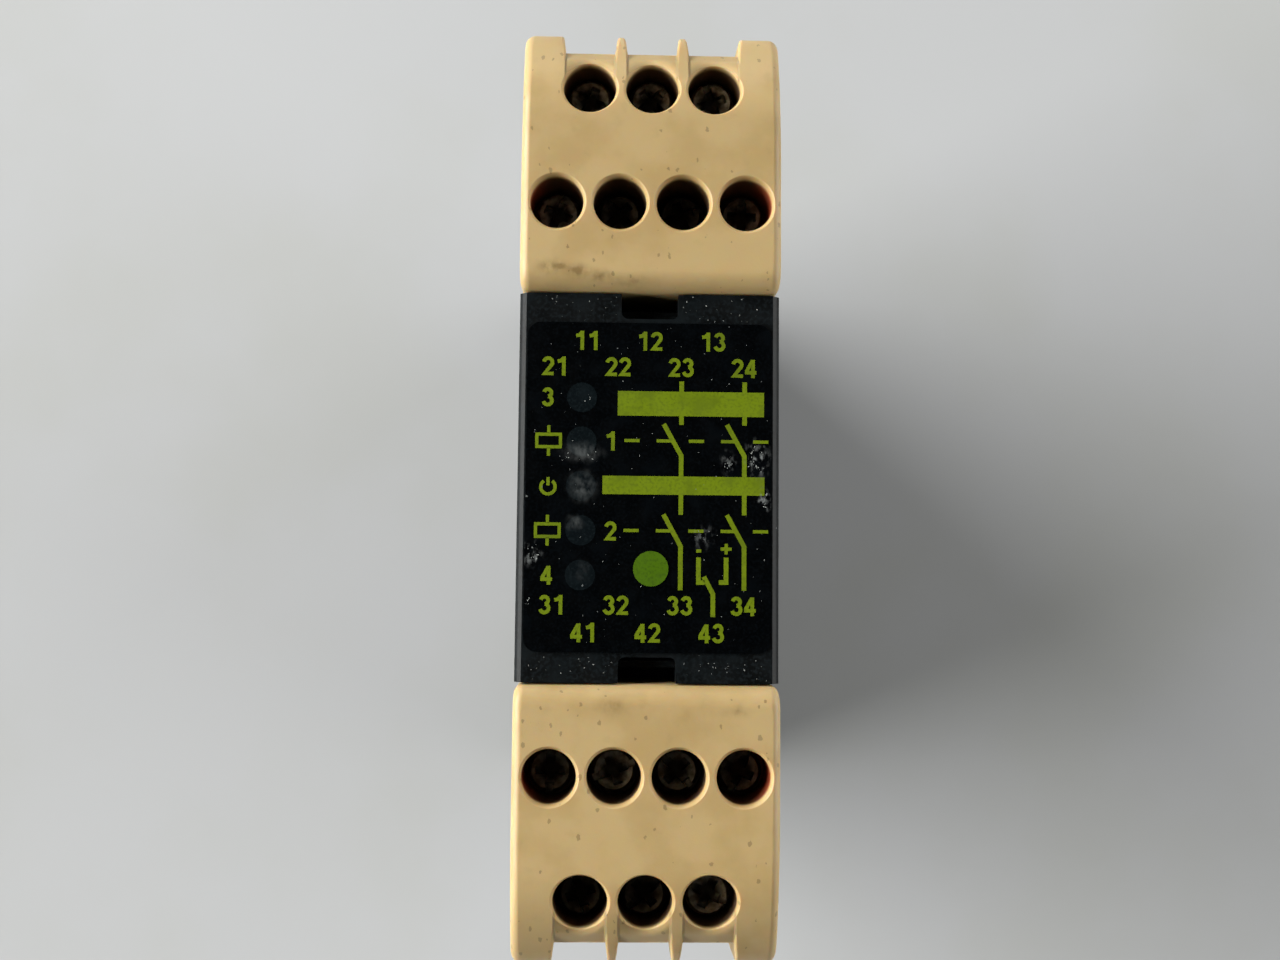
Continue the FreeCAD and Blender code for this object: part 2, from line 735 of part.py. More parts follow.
def terminal_block():
    cuts = []
    for x, row, leg, bar in terminals():
        cuts += access_hole(x, row)
        cuts += clamp_cell(x, row, bar)
        cuts.append(contact(x, row, leg, bar, FIT))
    for x in outer_columns:
        cuts += [wire_pocket(x), pocket_lead(x)]
        cuts += wire_entry(x, row_outer, pocket_wall, upper_bar)
    for x in inner_columns:
        cuts += wire_entry(x, row_inner, block_end, lower_bar)
    key = GUIDE_WIDTH / 2 + RUN
    key_top = tongue_half + GUIDE_HEIGHT + RUN
    cuts.append(box(-key, key, panel_half - WALL, key_top, bay - WALL, guide_top + RUN))
    return cut_each(block_solid(), cuts)


def contact_bars():
    bars = []
    for x, row, leg, bar in terminals():
        bore = square_at(x, leg, PIN_WIDTH + 2 * RUN, level(block_depth) - WALL, level(socket_top) - RUN)
        bars.append(contact(x, row, leg, bar, 0).cut(bore))
    return Part.makeCompound(bars)


def clamp_screw(x, y, bar, angle):
    """Combination-head screw: a slot and a cross in a low head, on a plain shank."""
    top = level(HEAD_RECESS)
    base = level(head_base)
    tip = level(bar - RUN / 2)
    head = rod(HEAD_DIAMETER, x, y, base, top)
    head = bevel_edges(head, HEAD_CHAMFER, lambda edge: edge.BoundBox.ZMin > top - FIT)
    shank = rod(SHANK_DIAMETER, x, y, tip, base)
    reach = HEAD_DIAMETER
    slot = box(x - reach, x + reach, y - SLOT_WIDTH / 2, y + SLOT_WIDTH / 2, top - SLOT_DEPTH, top + WALL)
    arm = CROSS_LENGTH / 2
    thick = CROSS_WIDTH / 2
    floor = top - CROSS_DEPTH
    cross = [box(x - arm, x + arm, y - thick, y + thick, floor, top + WALL)]
    cross.append(box(x - thick, x + thick, y - arm, y + arm, floor, top + WALL))
    screw = fused([head, shank]).cut([slot] + cross)
    screw.rotate(Vector(x, y, 0), Vector(0, 0, 1), angle)
    return screw


def rising_clamp(x, y, bar):
    """Box clamp round the current bar, tapped for the screw and shown fully open."""
    x0 = x - clamp_width / 2
    y0 = y - CLAMP_LENGTH / 2
    roof = level(bar - RUN)
    floor = level(bar + BAR_THICKNESS + WIRE_SPACE)
    frame = box(x0, x0 + clamp_width, y0, y0 + CLAMP_LENGTH, floor - CLAMP_FLOOR, roof + CLAMP_HEAD)
    bore = box(x - clamp_bore / 2, x + clamp_bore / 2, y0 - WALL, y + CLAMP_LENGTH, floor, roof)
    tapped = rod(SHANK_DIAMETER + RUN, x, y, roof - RUN, level(bar - clamp_room))
    return frame.cut([bore, tapped])


def save_block(name, turn):
    """Write one terminal block with its contacts, screws and clamps."""
    save(f"{name}_block", turn(terminal_block()))
    save(f"{name}_contacts", turn(contact_bars()))
    for i, (x, row, leg, bar) in enumerate(terminals(), start=1):
        save(f"{name}_screw_{i}", turn(clamp_screw(x, row, bar, i * SCREW_STEP)))
        save(f"{name}_clamp_{i}", turn(rising_clamp(x, row, bar)))
    save(f"{name}_header", turn(pin_header()))
    save(f"{name}_header_pins", turn(header_pins()))
    save(f"{name}_connector_board", turn(connector_board()))


def same(shape):
    return shape


def main():
    os.makedirs("parts", exist_ok=True)
    save("housing_tub", housing_tub())
    save("side_cover", side_cover())
    save("front_plate", front_plate())
    save("front_label", front_label())
    save("check_sticker", check_sticker())
    for i, y in enumerate(led_rows(), start=1):
        save(f"status_led_{i}", status_led(y))
    save("led_board", led_board())
    save("main_board", main_board())
    save("relay_1", relay(RELAY_SPACING / 2))
    save("relay_2", relay(-RELAY_SPACING / 2))
    save("supply_capacitor", supply_capacitor())
    save("controller_chip_1", controller_chip(CHIP_SPACING))
    save("controller_chip_2", controller_chip(-CHIP_SPACING))
    save("rail_latch", rail_latch())
    save("latch_spring", latch_spring())
    save_block("upper", same)
    save_block("lower", half_turn)


main()
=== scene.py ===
# %% [markdown]
# # A safety controller for a mounting rail
# The real controller is a narrow black box with two cream terminal blocks plugged into its front. Its solids come
# from a CAD model, with every clamp screw in place. This lesson dresses them: it smooths their shading, gives each
# one the finish of the real plastic, metal or film, prints the label and adds the dust of some years in a cabinet.
# Lengths are written in millimetres, because the object is small, and one factor turns them to Blender's metres.

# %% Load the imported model
import json
import math

import bmesh
import bpy
from mathutils import Matrix, Vector

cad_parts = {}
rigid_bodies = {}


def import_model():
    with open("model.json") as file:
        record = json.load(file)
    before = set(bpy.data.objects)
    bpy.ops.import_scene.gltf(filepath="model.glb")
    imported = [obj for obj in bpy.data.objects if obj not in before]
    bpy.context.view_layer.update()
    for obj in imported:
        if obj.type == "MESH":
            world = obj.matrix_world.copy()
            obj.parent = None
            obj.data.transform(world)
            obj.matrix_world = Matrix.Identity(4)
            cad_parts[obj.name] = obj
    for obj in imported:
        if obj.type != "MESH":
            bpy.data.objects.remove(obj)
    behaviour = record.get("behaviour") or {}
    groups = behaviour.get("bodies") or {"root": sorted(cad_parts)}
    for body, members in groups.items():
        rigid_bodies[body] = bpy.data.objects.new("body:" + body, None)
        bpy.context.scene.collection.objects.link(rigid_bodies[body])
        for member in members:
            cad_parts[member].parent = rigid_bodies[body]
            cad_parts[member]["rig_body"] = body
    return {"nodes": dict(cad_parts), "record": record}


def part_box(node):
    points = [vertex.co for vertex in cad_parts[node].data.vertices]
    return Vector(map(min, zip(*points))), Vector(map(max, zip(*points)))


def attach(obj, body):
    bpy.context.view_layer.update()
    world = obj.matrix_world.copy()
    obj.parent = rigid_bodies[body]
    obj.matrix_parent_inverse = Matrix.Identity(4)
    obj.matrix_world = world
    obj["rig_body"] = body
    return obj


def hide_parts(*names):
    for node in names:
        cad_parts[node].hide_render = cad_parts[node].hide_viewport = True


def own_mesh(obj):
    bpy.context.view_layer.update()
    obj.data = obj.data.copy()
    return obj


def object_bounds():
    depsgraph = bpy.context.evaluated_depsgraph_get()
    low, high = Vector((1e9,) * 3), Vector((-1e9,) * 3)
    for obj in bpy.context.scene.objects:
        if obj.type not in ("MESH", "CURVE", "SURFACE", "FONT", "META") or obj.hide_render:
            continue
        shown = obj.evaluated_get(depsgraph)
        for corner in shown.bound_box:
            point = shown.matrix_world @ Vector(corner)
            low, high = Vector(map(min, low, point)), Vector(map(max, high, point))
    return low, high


MM = 0.001
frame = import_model()
cad_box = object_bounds()
nodes = frame["nodes"]
slot_of = {part["node"]: part["material_slot"] for part in frame["record"]["subparts"]}
front_z = cad_box[1][2]
print(len(nodes), "CAD nodes, front at", round(front_z / MM, 1), "mm")

# %% [markdown]
# ## Camera
# The photograph looks down onto the front from close by, so the sides vanish behind it. The lens and the slight tilts
# were fitted to the fourteen screwdriver holes, whose places are known. Blender's camera looks along its own -Z, so
# the fitted turn, which goes from the object to the camera, is inverted here.

# %% Camera
def put_in_scene(name, data):
    thing = bpy.data.objects.new(name, data)
    bpy.context.scene.collection.objects.link(thing)
    return thing


IMAGE_WIDTH_PX = 1280
FOCAL_PX = 1250
SENSOR_MM = 36
TILT_DEG = {"X": -4.11, "Y": 1.46, "Z": -0.66}
FRONT_CENTRE_SEEN_MM = Vector((0.78, -0.47, -106.89))
CLIP_START_MM = 5

turn = Matrix.Identity(3)
for axis, degrees in TILT_DEG.items():
    turn = Matrix.Rotation(math.radians(degrees), 3, axis) @ turn
lens = bpy.data.cameras.new("front_camera")
lens.sensor_width = SENSOR_MM
lens.lens = SENSOR_MM * FOCAL_PX / IMAGE_WIDTH_PX
lens.clip_start = CLIP_START_MM * MM
camera = put_in_scene("front_camera", lens)
place = Vector((0, 0, front_z)) - turn.transposed() @ FRONT_CENTRE_SEEN_MM * MM
camera.matrix_world = Matrix.Translation(place) @ turn.transposed().to_4x4()
bpy.context.scene.camera = camera
print("camera at", [round(c / MM, 1) for c in place], "mm, lens", round(lens.lens, 1), "mm")

# %% [markdown]
# ## One way to add nodes
# Materials, the world and Geometry Nodes all are node trees, and one small function serves them all: it makes a node,
# sets its options, and gives each input a value or a link. It is told the tree or anything in it, because nodes and
# sockets know their tree as id_data. A link comes from a socket, or from a node, which stands for its first output in
# use. Some nodes have several sockets of one name, so a socket may also be named by its identifier. The giving is a
# step of its own, because what goes into a shader is made after it. Colours are written as sRGB hex, the way a colour
# picker shows them, and Blender's sockets want linear light, so one function converts them.

# %% Node and colour helpers
def linear(hex_code):
    channels = [int(hex_code[i:i + 2], 16) / 255 for i in (1, 3, 5)]
    return [c / 12.92 if c <= 0.04045 else ((c + 0.055) / 1.055) ** 2.4 for c in channels] + [1.0]


def give(node, inputs):
    for key, value in dict(inputs).items():
        found = [s for s in node.inputs if s.identifier == key] or [node.inputs[key]]
        if isinstance(value, bpy.types.Node):
            value = next(result for result in value.outputs if result.enabled)
        if isinstance(value, bpy.types.NodeSocket):
            node.id_data.links.new(value, found[0])
        else:
            found[0].default_value = linear(value) if isinstance(value, str) else value


def add_node(home, kind, inputs=(), **options):
    """Adds a node to a tree, or to the tree of a node or socket."""
    node = home.id_data.nodes.new(kind)
    for name, value in options.items():
        setattr(node, name, value)
    give(node, inputs)
    return node


def new_material(name):
    """An empty Principled material, its shader and the piece's own coordinates."""
    material = bpy.data.materials.new(name)
    material.use_nodes = True
    tree = material.node_tree
    tree.nodes.clear()
    shader = add_node(tree, "ShaderNodeBsdfPrincipled")
    add_node(tree, "ShaderNodeOutputMaterial", {"Surface": shader})
    where = add_node(tree, "ShaderNodeTexCoord").outputs["Object"]
    return material, shader, where


def opened(material):
    """The tree, the shader and the coordinates of a finished material, for one more layer."""
    tree = material.node_tree
    return tree, tree.nodes["Principled BSDF"], tree.nodes["Texture Coordinate"].outputs["Object"]


def per_metre(size_mm):
    """The Scale of a texture whose features are about that large."""
    return 1 / (size_mm * MM)


print("mid grey #808080 is", round(linear("#808080")[0], 3), "in linear light")

# %% [markdown]
# ## Patterns that several finishes share
# Four patterns come back in most materials here. Specks are cells of a Voronoi texture with a dot in some of them.
# A cloud is plain noise pushed through a map range, for stains and uneven dirt. Grain is a very fine noise that feeds
# a bump, for the spark-eroded skin of moulded plastic. Smears are rubbed or stained places, soft ellipses that noise
# tears up. Each is a function of sizes in millimetres, so that the same pattern keeps its scale on every piece.

# %% Shared patterns
SMEAR_DEPTH_MM = 4.0  # reaches every layer of the front
RAGGED_MM, RAGGED_REACH_MM = 0.9, 0.7
TORN_FULL = 0.72  # noise level above which a smear is whole
DRAWN_OUT = (1.0, 0.6, 1.0)  # squeezes the pattern's place along Y, which draws the pattern out
SPECK_RAGGED = 2.2  # push on the outline of a speck, in its radii
GRAIN_STRENGTH = 0.6


def shaken(where, size_mm, reach_mm):
    """The place, pushed about by noise, which makes every outline ragged."""
    noise = add_node(where, "ShaderNodeTexNoise", {"Vector": where, "Scale": per_metre(size_mm)})
    push = add_node(where, "ShaderNodeVectorMath", {0: noise.outputs["Color"], 1: [0.5] * 3}, operation="SUBTRACT")
    return add_node(where, "ShaderNodeVectorMath", {0: push, 1: [reach_mm * MM] * 3, 2: where},
                    operation="MULTIPLY_ADD")


def specks(where, spacing_mm, radius_mm, share):
    """Irregular dots, drawn out along Y, in a share of the cells: 1 in a dot and 0 around it."""
    ragged = shaken(where, 2 * radius_mm, SPECK_RAGGED * radius_mm)
    drawn = add_node(where, "ShaderNodeVectorMath", {0: ragged, 1: DRAWN_OUT}, operation="MULTIPLY")
    cells = add_node(where, "ShaderNodeTexVoronoi", {"Vector": drawn, "Scale": per_metre(spacing_mm)})
    chance = add_node(where, "ShaderNodeSeparateColor", {"Color": cells.outputs["Color"]})
    reach = add_node(where, "ShaderNodeMapRange", {"Value": chance.outputs["Red"], "From Min": 1 - share,
                                                  "To Max": radius_mm / spacing_mm})
    return add_node(where, "ShaderNodeMath", {0: reach, 1: cells.outputs["Distance"]}, operation="GREATER_THAN")


def cloud(where, size_mm, low, high, detail=4.0, least=0.0, most=1.0):
    """Soft patches: least below the low noise level, most above the high one."""
    noise = add_node(where, "ShaderNodeTexNoise", {"Vector": where, "Scale": per_metre(size_mm), "Detail": detail})
    return add_node(where, "ShaderNodeMapRange", {
        "Value": noise, "From Min": low, "From Max": high, "To Min": least, "To Max": most},
        interpolation_type="SMOOTHSTEP")


def tinted(under, over, amount, most=None):
    """The colour under, covered by the colour over where amount is 1, there fully or up to a share."""
    if most:
        amount = add_node(amount, "ShaderNodeMath", {0: amount, 1: most}, operation="MULTIPLY")
    colours = {"Factor_Float": amount, "A_Color": under, "B_Color": over}
    return add_node(amount, "ShaderNodeMix", colours, data_type="RGBA")


def grain(where, size_mm, depth_mm):
    """Normals with a fine even grain."""
    noise = add_node(where, "ShaderNodeTexNoise", {"Vector": where, "Scale": per_metre(size_mm), "Detail": 3.0})
    return add_node(where, "ShaderNodeBump",
                    {"Height": noise, "Distance": depth_mm * MM, "Strength": GRAIN_STRENGTH})


def smears(where, places, torn_mm, torn_from):
    """Torn patches on the front. Each place has its x and y, its reach along both, and a strength."""
    total = 0.0
    ragged = shaken(where, RAGGED_MM, RAGGED_REACH_MM)
    for x, y, wide, long, strength in places:
        inside = add_node(where, "ShaderNodeMapping", {
            "Vector": ragged, "Location": Vector((x, y, front_z / MM)) * MM,
            "Scale": Vector((wide, long, SMEAR_DEPTH_MM)) * MM}, vector_type="TEXTURE")
        patch = add_node(where, "ShaderNodeTexGradient", {"Vector": inside}, gradient_type="QUADRATIC_SPHERE")
        total = add_node(where, "ShaderNodeMath", {0: patch.outputs["Fac"], 1: strength, 2: total},
                         operation="MULTIPLY_ADD")
    drawn = add_node(where, "ShaderNodeVectorMath", {0: where, 1: DRAWN_OUT}, operation="MULTIPLY")
    torn = cloud(drawn, torn_mm, torn_from, TORN_FULL, detail=6.0)
    return add_node(where, "ShaderNodeMath", {0: total, 1: torn}, operation="MULTIPLY", use_clamp=True)


def from_middle(where, axis):
    """Distance from the middle of the part along an axis."""
    split = add_node(where, "ShaderNodeSeparateXYZ", {"Vector": where})
    return add_node(where, "ShaderNodeMath", {0: split.outputs[axis]}, operation="ABSOLUTE")


print("patterns ready: specks, cloud, grain, smears")

# %% [markdown]
# ## Cream polyamide
# The terminal blocks are injection-moulded polyamide in a warm cream. The plastic is a little translucent: light that
# enters a thin wall comes out orange. Subsurface scattering with a long red radius gives that at the edges. Inside
# the screwdriver holes the colour turns dark within one millimetre below the rim, grime with painted shade, and
# next to the sides of the block it turns dark red instead, a painted glow of light through the thin walls. So the
# colour there follows the depth below the rim, which each point of a hole carries. The surface has a fine satin
# grain, brown specks of dirt and a long greyish rub beside the front plate.

# %% Cream polyamide
CREAM, CREAM_DULL, CREAM_SPECK, CREAM_STAIN = "#c9ae7b", "#bfa36f", "#5f4d2c", "#8f7648"
# Holes: painted shade with grime, full one millimetre below the rim, and a painted dark red glow near the sides
BORE_GRIME_AND_SHADE, BORE_PAINTED_GLOW, GRIME_AND_SHADE_FULL_MM, GRIME_AND_SHADE_MOST = "#36130a", "#96270c", 1.0, 0.9
THIN_FROM_MM, THIN_FULL_MM = 8.8, 10.6
POLYAMIDE_IOR = 1.53
STAINS_MM = [
    (-8.7, 18.9, 2.2, 1.1, 1.5),
    (-6.4, 18.65, 2.0, 1.0, 1.5),
    (-4.4, 18.2, 2.1, 1.0, 1.2),
    (-1.6, 17.75, 3.2, 0.8, 0.9),
    (-7.9, 18.95, 0.8, 0.45, 1.7),
    (-6.4, 18.6, 0.7, 0.4, 1.7),
    (-2.9, -18.7, 2.2, 1.4, 1.0),
    (7.6, -19.0, 1.8, 1.1, 0.8),
]

cream_polyamide, shader, where = new_material("cream_polyamide")
tree = cream_polyamide.node_tree
colour = tinted(CREAM, CREAM_DULL, cloud(where, 5.0, low=0.42, high=0.66))
colour = tinted(colour, CREAM_STAIN, smears(where, STAINS_MM, torn_mm=0.6, torn_from=0.1), most=0.9)
colour = tinted(colour, CREAM_STAIN, cloud(where, 2.2, low=0.60, high=0.74), most=0.12)
fine = specks(where, spacing_mm=0.80, radius_mm=0.18, share=0.55)
bold = specks(where, spacing_mm=1.7, radius_mm=0.19, share=0.50)
colour = tinted(tinted(colour, CREAM_SPECK, fine, most=0.42), CREAM_SPECK, bold, most=0.5)
# The holes' colour darkens with the depth below the rim: painted shade with grime
depth = add_node(tree, "ShaderNodeAttribute", attribute_name="bore_depth")
grime_and_shade = add_node(tree, "ShaderNodeMapRange", {"Value": depth.outputs["Fac"], "From Max": GRIME_AND_SHADE_FULL_MM,
                                              "To Max": GRIME_AND_SHADE_MOST}, interpolation_type="SMOOTHSTEP")
beside = from_middle(where, "X")
# Near the block's sides the holes' dark colour turns red: a painted glow of light through the thin walls
thin = add_node(tree, "ShaderNodeMapRange",
                {"Value": beside, "From Min": THIN_FROM_MM * MM, "From Max": THIN_FULL_MM * MM})
grime_shade_and_glow = tinted(BORE_GRIME_AND_SHADE, BORE_PAINTED_GLOW, thin)
give(shader, {
    "Base Color": tinted(colour, grime_shade_and_glow, grime_and_shade),
    "Roughness": cloud(where, 3.0, low=0.3, high=0.7, least=0.42, most=0.55),
    "IOR": POLYAMIDE_IOR,
    "Subsurface Weight": 0.35,
    "Subsurface Radius": (1.0, 0.32, 0.08),
    "Subsurface Scale": 0.9 * MM,
})
print("cream polyamide:", len(tree.nodes), "nodes")

# %% [markdown]
# ## Slopes beside the outer holes
# Between two ribs the real moulding slopes from a hole of the outer row down to its wire pocket, and a soft lip
# follows the hole. The CAD front has only a short slope there, so the finish draws a longer one as a height that just
# turns the light. It falls with the distance from the middle, falls again close to the hole, and is nil on the ribs
# and on walls. The holes repeat at an even pitch, so a ping-pong of the distance across tells how far a place is from
# the middle of its hole.

# %% Slopes beside the outer holes
PITCH_MM, OUTER_ROW_MM = 5.5, 35.15
POCKET_HALF_MM, POCKETS_HALF_MM, POCKET_SOFT_MM = 2.2, 7.7, 0.12
LEAD_FROM_MM, LEAD_TO_MM, LEAD_DROP_MM = 36.0, 39.1, 2.1
LIP_RADIUS_MM, LIP_WIDTH_MM, LIP_DEPTH_MM = 3.25, 0.85, 0.42
LIP_FROM_MM, LIP_FULL_MM = 0.4, 1.4  # past the middle of the row
FACES_UP = 0.3  # cosine from the vertical, below which a face is a wall

along = from_middle(where, "Y")
lead = add_node(tree, "ShaderNodeMapRange", {
    "Value": along, "From Min": LEAD_FROM_MM * MM, "From Max": LEAD_TO_MM * MM, "To Max": -LEAD_DROP_MM * MM})
column = add_node(tree, "ShaderNodeMath", {0: beside, 1: PITCH_MM / 2 * MM}, operation="PINGPONG")
past_row = add_node(tree, "ShaderNodeMath", {0: along, 1: OUTER_ROW_MM * MM}, operation="SUBTRACT")
offset = add_node(tree, "ShaderNodeCombineXYZ", {"X": column, "Y": past_row})
out = add_node(tree, "ShaderNodeVectorMath", {0: offset}, operation="LENGTH")
lip = add_node(tree, "ShaderNodeMapRange", {
    "Value": out, "From Min": LIP_RADIUS_MM * MM, "From Max": (LIP_RADIUS_MM - LIP_WIDTH_MM) * MM})
rounded = add_node(tree, "ShaderNodeMath", {0: lip, 1: 2.0}, operation="POWER")
beyond = add_node(tree, "ShaderNodeMapRange", {
    "Value": past_row, "From Min": LIP_FROM_MM * MM, "From Max": LIP_FULL_MM * MM, "To Max": -LIP_DEPTH_MM * MM},
    interpolation_type="SMOOTHSTEP")
height = add_node(tree, "ShaderNodeMath", {0: rounded, 1: beyond, 2: lead}, operation="MULTIPLY_ADD")
flat = add_node(tree, "ShaderNodeNewGeometry").outputs["True Normal"]
up = add_node(tree, "ShaderNodeSeparateXYZ", {"Vector": flat}).outputs["Z"]
shares = [add_node(tree, "ShaderNodeMath", {0: up, 1: FACES_UP}, operation="GREATER_THAN")]
for distance, half_mm in ((column, POCKET_HALF_MM), (beside, POCKETS_HALF_MM)):
    shares.append(add_node(tree, "ShaderNodeMapRange", {
        "Value": distance, "From Min": (half_mm + POCKET_SOFT_MM) * MM,
        "From Max": (half_mm - POCKET_SOFT_MM) * MM}, interpolation_type="SMOOTHSTEP"))
for share in shares:
    height = add_node(tree, "ShaderNodeMath", {0: height, 1: share}, operation="MULTIPLY")
skin = grain(where, size_mm=0.18, depth_mm=0.012)
slope = add_node(tree, "ShaderNodeBump", {"Height": height, "Distance": 1.0, "Strength": 1.0, "Normal": skin})
give(shader, {"Normal": slope})
print("cream polyamide with its slopes:", len(tree.nodes), "nodes")

# %% [markdown]
# ## Black polyamide and the label film
# The housing and the front plate are the same glass-filled polyamide in black, with the dull grey cast that fine dust
# leaves. Hands have polished the plate along its slanting sides, and its outermost line is dull. The label is a
# polyester film printed black on its face: it is darker and smoother than the plastic around it. Both carry white
# specks of dust. Rubbed places on the film are smears, and the ink and the light windows have the same ones, because
# a scuff doesn't stop at an edge of the print.

# %% Black polyamide
BLACK, BLACK_DUSTY, DUST = "#010304", "#11171a", "#8f9494"
SMOOTHER, ROUGHER = 0.03, 0.05
PLATE_GLOSS, POLISHED_GLOSS, DULL_SHARE = 0.24, 0.30, 0.4
POLISHED_FROM_MM, DULL_FROM_MM, FADE_MM = 10.78, 11.12, 0.08


def black_plastic(name, base, dusty, roughness, dust_share):
    material, shader, where = new_material(name)
    colour = tinted(base, dusty, cloud(where, 2.6, low=0.36, high=0.80))
    colour = tinted(colour, dusty, cloud(where, 0.32, low=0.46, high=0.64))
    dots = specks(where, spacing_mm=0.8, radius_mm=0.07, share=dust_share)
    give(shader, {
        "Base Color": tinted(colour, DUST, dots, most=0.55),
        "Roughness": cloud(where, 1.9, low=0.3, high=0.7, least=roughness - SMOOTHER, most=roughness + ROUGHER),
        "Normal": grain(where, size_mm=0.16, depth_mm=0.014),
        "IOR": POLYAMIDE_IOR,
        "Specular IOR Level": 0.32,
    })
    return material


black_polyamide = black_plastic("black_polyamide", BLACK, BLACK_DUSTY, 0.40, 0.22)
plate_polyamide = black_plastic("plate_polyamide", BLACK, BLACK_DUSTY, 0.42, 0.26)
latch_polyamide = black_plastic("latch_polyamide", "#17191b", "#26292a", 0.40, 0.10)
header_polyamide = black_plastic("header_polyamide", "#1a1b1c", "#242526", 0.50, 0.04)
tree, shader, where = opened(plate_polyamide)
beside = from_middle(where, "X")
gloss = 1.0
for from_mm, inner, outer in ((POLISHED_FROM_MM, PLATE_GLOSS, POLISHED_GLOSS), (DULL_FROM_MM, 1.0, DULL_SHARE)):
    step = add_node(tree, "ShaderNodeMapRange", {
        "Value": beside, "From Min": from_mm * MM, "From Max": (from_mm + FADE_MM) * MM,
        "To Min": inner, "To Max": outer})
    gloss = add_node(tree, "ShaderNodeMath", {0: step, 1: gloss}, operation="MULTIPLY")
give(shader, {"Specular IOR Level": gloss})
print("black plastics:", black_polyamide.name, plate_polyamide.name, latch_polyamide.name, header_polyamide.name)

# %% Label film, ink, sticker and light windows
FILM, FILM_HAZE = "#010203", "#05080b"
INK_LIME, INK_WORN, STICKER_GREEN, STICKER_WORN = "#70840a", "#61730c", "#496b05", "#3e5c08"
WINDOW_GREY, WINDOW_HAZE, SCUFF_GREY = "#0b1114", "#141b1e", "#a3a8a8"
HAZE_ROUGHER = 0.06
SCUFFS_MM = [
    (-5.8, 2.9, 2.6, 1.3, 0.65),
    (-5.7, 0.0, 1.9, 2.0, 0.65),
    (-6.4, -3.2, 1.1, 1.0, 0.7),
    (-5.6, -7.4, 0.9, 1.5, 0.20),
]
TORN_MM = [
    (9.4, 2.5, 1.6, 2.4, 2.6),
    (6.9, 2.1, 0.9, 1.5, 1.6),
    (10.0, -1.1, 1.0, 1.7, 2.4),
    (-10.1, -5.9, 1.4, 1.5, 2.6),
    (4.7, -4.4, 1.6, 1.5, 1.2),
]


def printed_surface(name, base, haze, roughness):
    material, shader, where = new_material(name)
    colour = tinted(base, haze, cloud(where, 2.0, low=0.45, high=0.75))
    colour = tinted(colour, haze, cloud(where, 0.25, low=0.45, high=0.70))
    dots = specks(where, spacing_mm=0.7, radius_mm=0.075, share=0.28)
    colour = tinted(colour, DUST, dots, most=0.5)
    scuffs = smears(where, SCUFFS_MM, torn_mm=0.45, torn_from=0.3)
    colour = tinted(colour, SCUFF_GREY, scuffs, most=0.7)
    torn = smears(where, TORN_MM, torn_mm=0.40, torn_from=0.48)
    give(shader, {
        "Base Color": tinted(colour, SCUFF_GREY, torn, most=0.65),
        "Roughness": cloud(where, 1.2, low=0.3, high=0.7, least=roughness, most=roughness + HAZE_ROUGHER),
        "Normal": grain(where, size_mm=0.22, depth_mm=0.003),
        "Specular IOR Level": 0.27,
    })
    return material


polyester_film = printed_surface("polyester_film", FILM, FILM_HAZE, 0.23)
lime_ink = printed_surface("lime_ink", INK_LIME, INK_WORN, 0.45)
green_vinyl = printed_surface("green_vinyl", STICKER_GREEN, STICKER_WORN, 0.42)
window_film = printed_surface("window_film", WINDOW_GREY, WINDOW_HAZE, 0.22)
print("front finishes:", polyester_film.name, lime_ink.name, green_vinyl.name, window_film.name)

# %% [markdown]
# ## Metals
# The clamp screws and the rising clamps are zinc-plated steel, dulled by handling. The pins and the current bars are
# brass under a thin layer of tin. The latch spring is bare drawn wire. A metal gets its colour from its reflection,
# so each has Metallic 1 and the default IOR, and only colour, roughness and the scale of its stains differ. The
# screws' finish turns dark towards the axis, whose place each screw carries: dirt and painted shade of the recess.
# Some screws are darkened all over, dirt and painted shade of their deep holes, and each carries that share too.

# %% Metals
STAIN_ROUGHER = 0.2


def metal(name, bright, dull, roughness, patch_mm):
    material, shader, where = new_material(name)
    patches = cloud(where, patch_mm, low=0.35, high=0.68, detail=6.0)
    rough = add_node(where, "ShaderNodeMapRange",
                     {"Value": patches, "To Min": roughness, "To Max": roughness + STAIN_ROUGHER})
    give(shader, {
        "Base Color": tinted(bright, dull, patches),
        "Roughness": rough,
        "Normal": grain(where, size_mm=0.10, depth_mm=0.006),
        "Metallic": 1.0,
    })
    return material


zinc_plated_steel = metal("zinc_plated_steel", "#e0dbd0", "#8e877a", 0.30, 0.7)
clamp_zinc = metal("clamp_zinc", "#b0aca2", "#857f74", 0.34, 1.2)
tinned_brass = metal("tinned_brass", "#c8c3b6", "#b09a6c", 0.28, 0.9)
drawn_wire = metal("drawn_wire", "#9d9d9b", "#7b7a77", 0.26, 0.5)
print("metals:", zinc_plated_steel.name, clamp_zinc.name, tinned_brass.name, drawn_wire.name)

# %% Grime and painted shade on the screws
RECESS_GRIME_AND_SHADE, RECESS_SHADE_FULL_AT_MM, RECESS_SHADE_ENDS_AT_MM = "#1a130c", 0.8, 1.3
ACROSS = (1.0, 1.0, 0.0)

tree, shader, where = opened(zinc_plated_steel)
# Darker towards each screw's axis: painted shade of the recess, with dirt
axis = add_node(tree, "ShaderNodeAttribute", attribute_name="axis_place").outputs["Vector"]
ragged = shaken(where, size_mm=0.6, reach_mm=0.5)
offset = add_node(tree, "ShaderNodeVectorMath", {0: ragged, 1: axis}, operation="SUBTRACT")
level = add_node(tree, "ShaderNodeVectorMath", {0: offset, 1: ACROSS}, operation="MULTIPLY")
reach = add_node(tree, "ShaderNodeVectorMath", {0: level}, operation="LENGTH")
grime_and_shade = add_node(tree, "ShaderNodeMapRange", {
    "Value": reach, "From Min": RECESS_SHADE_FULL_AT_MM * MM, "From Max": RECESS_SHADE_ENDS_AT_MM * MM,
    "To Min": GRIME_AND_SHADE_MOST, "To Max": 0.0})
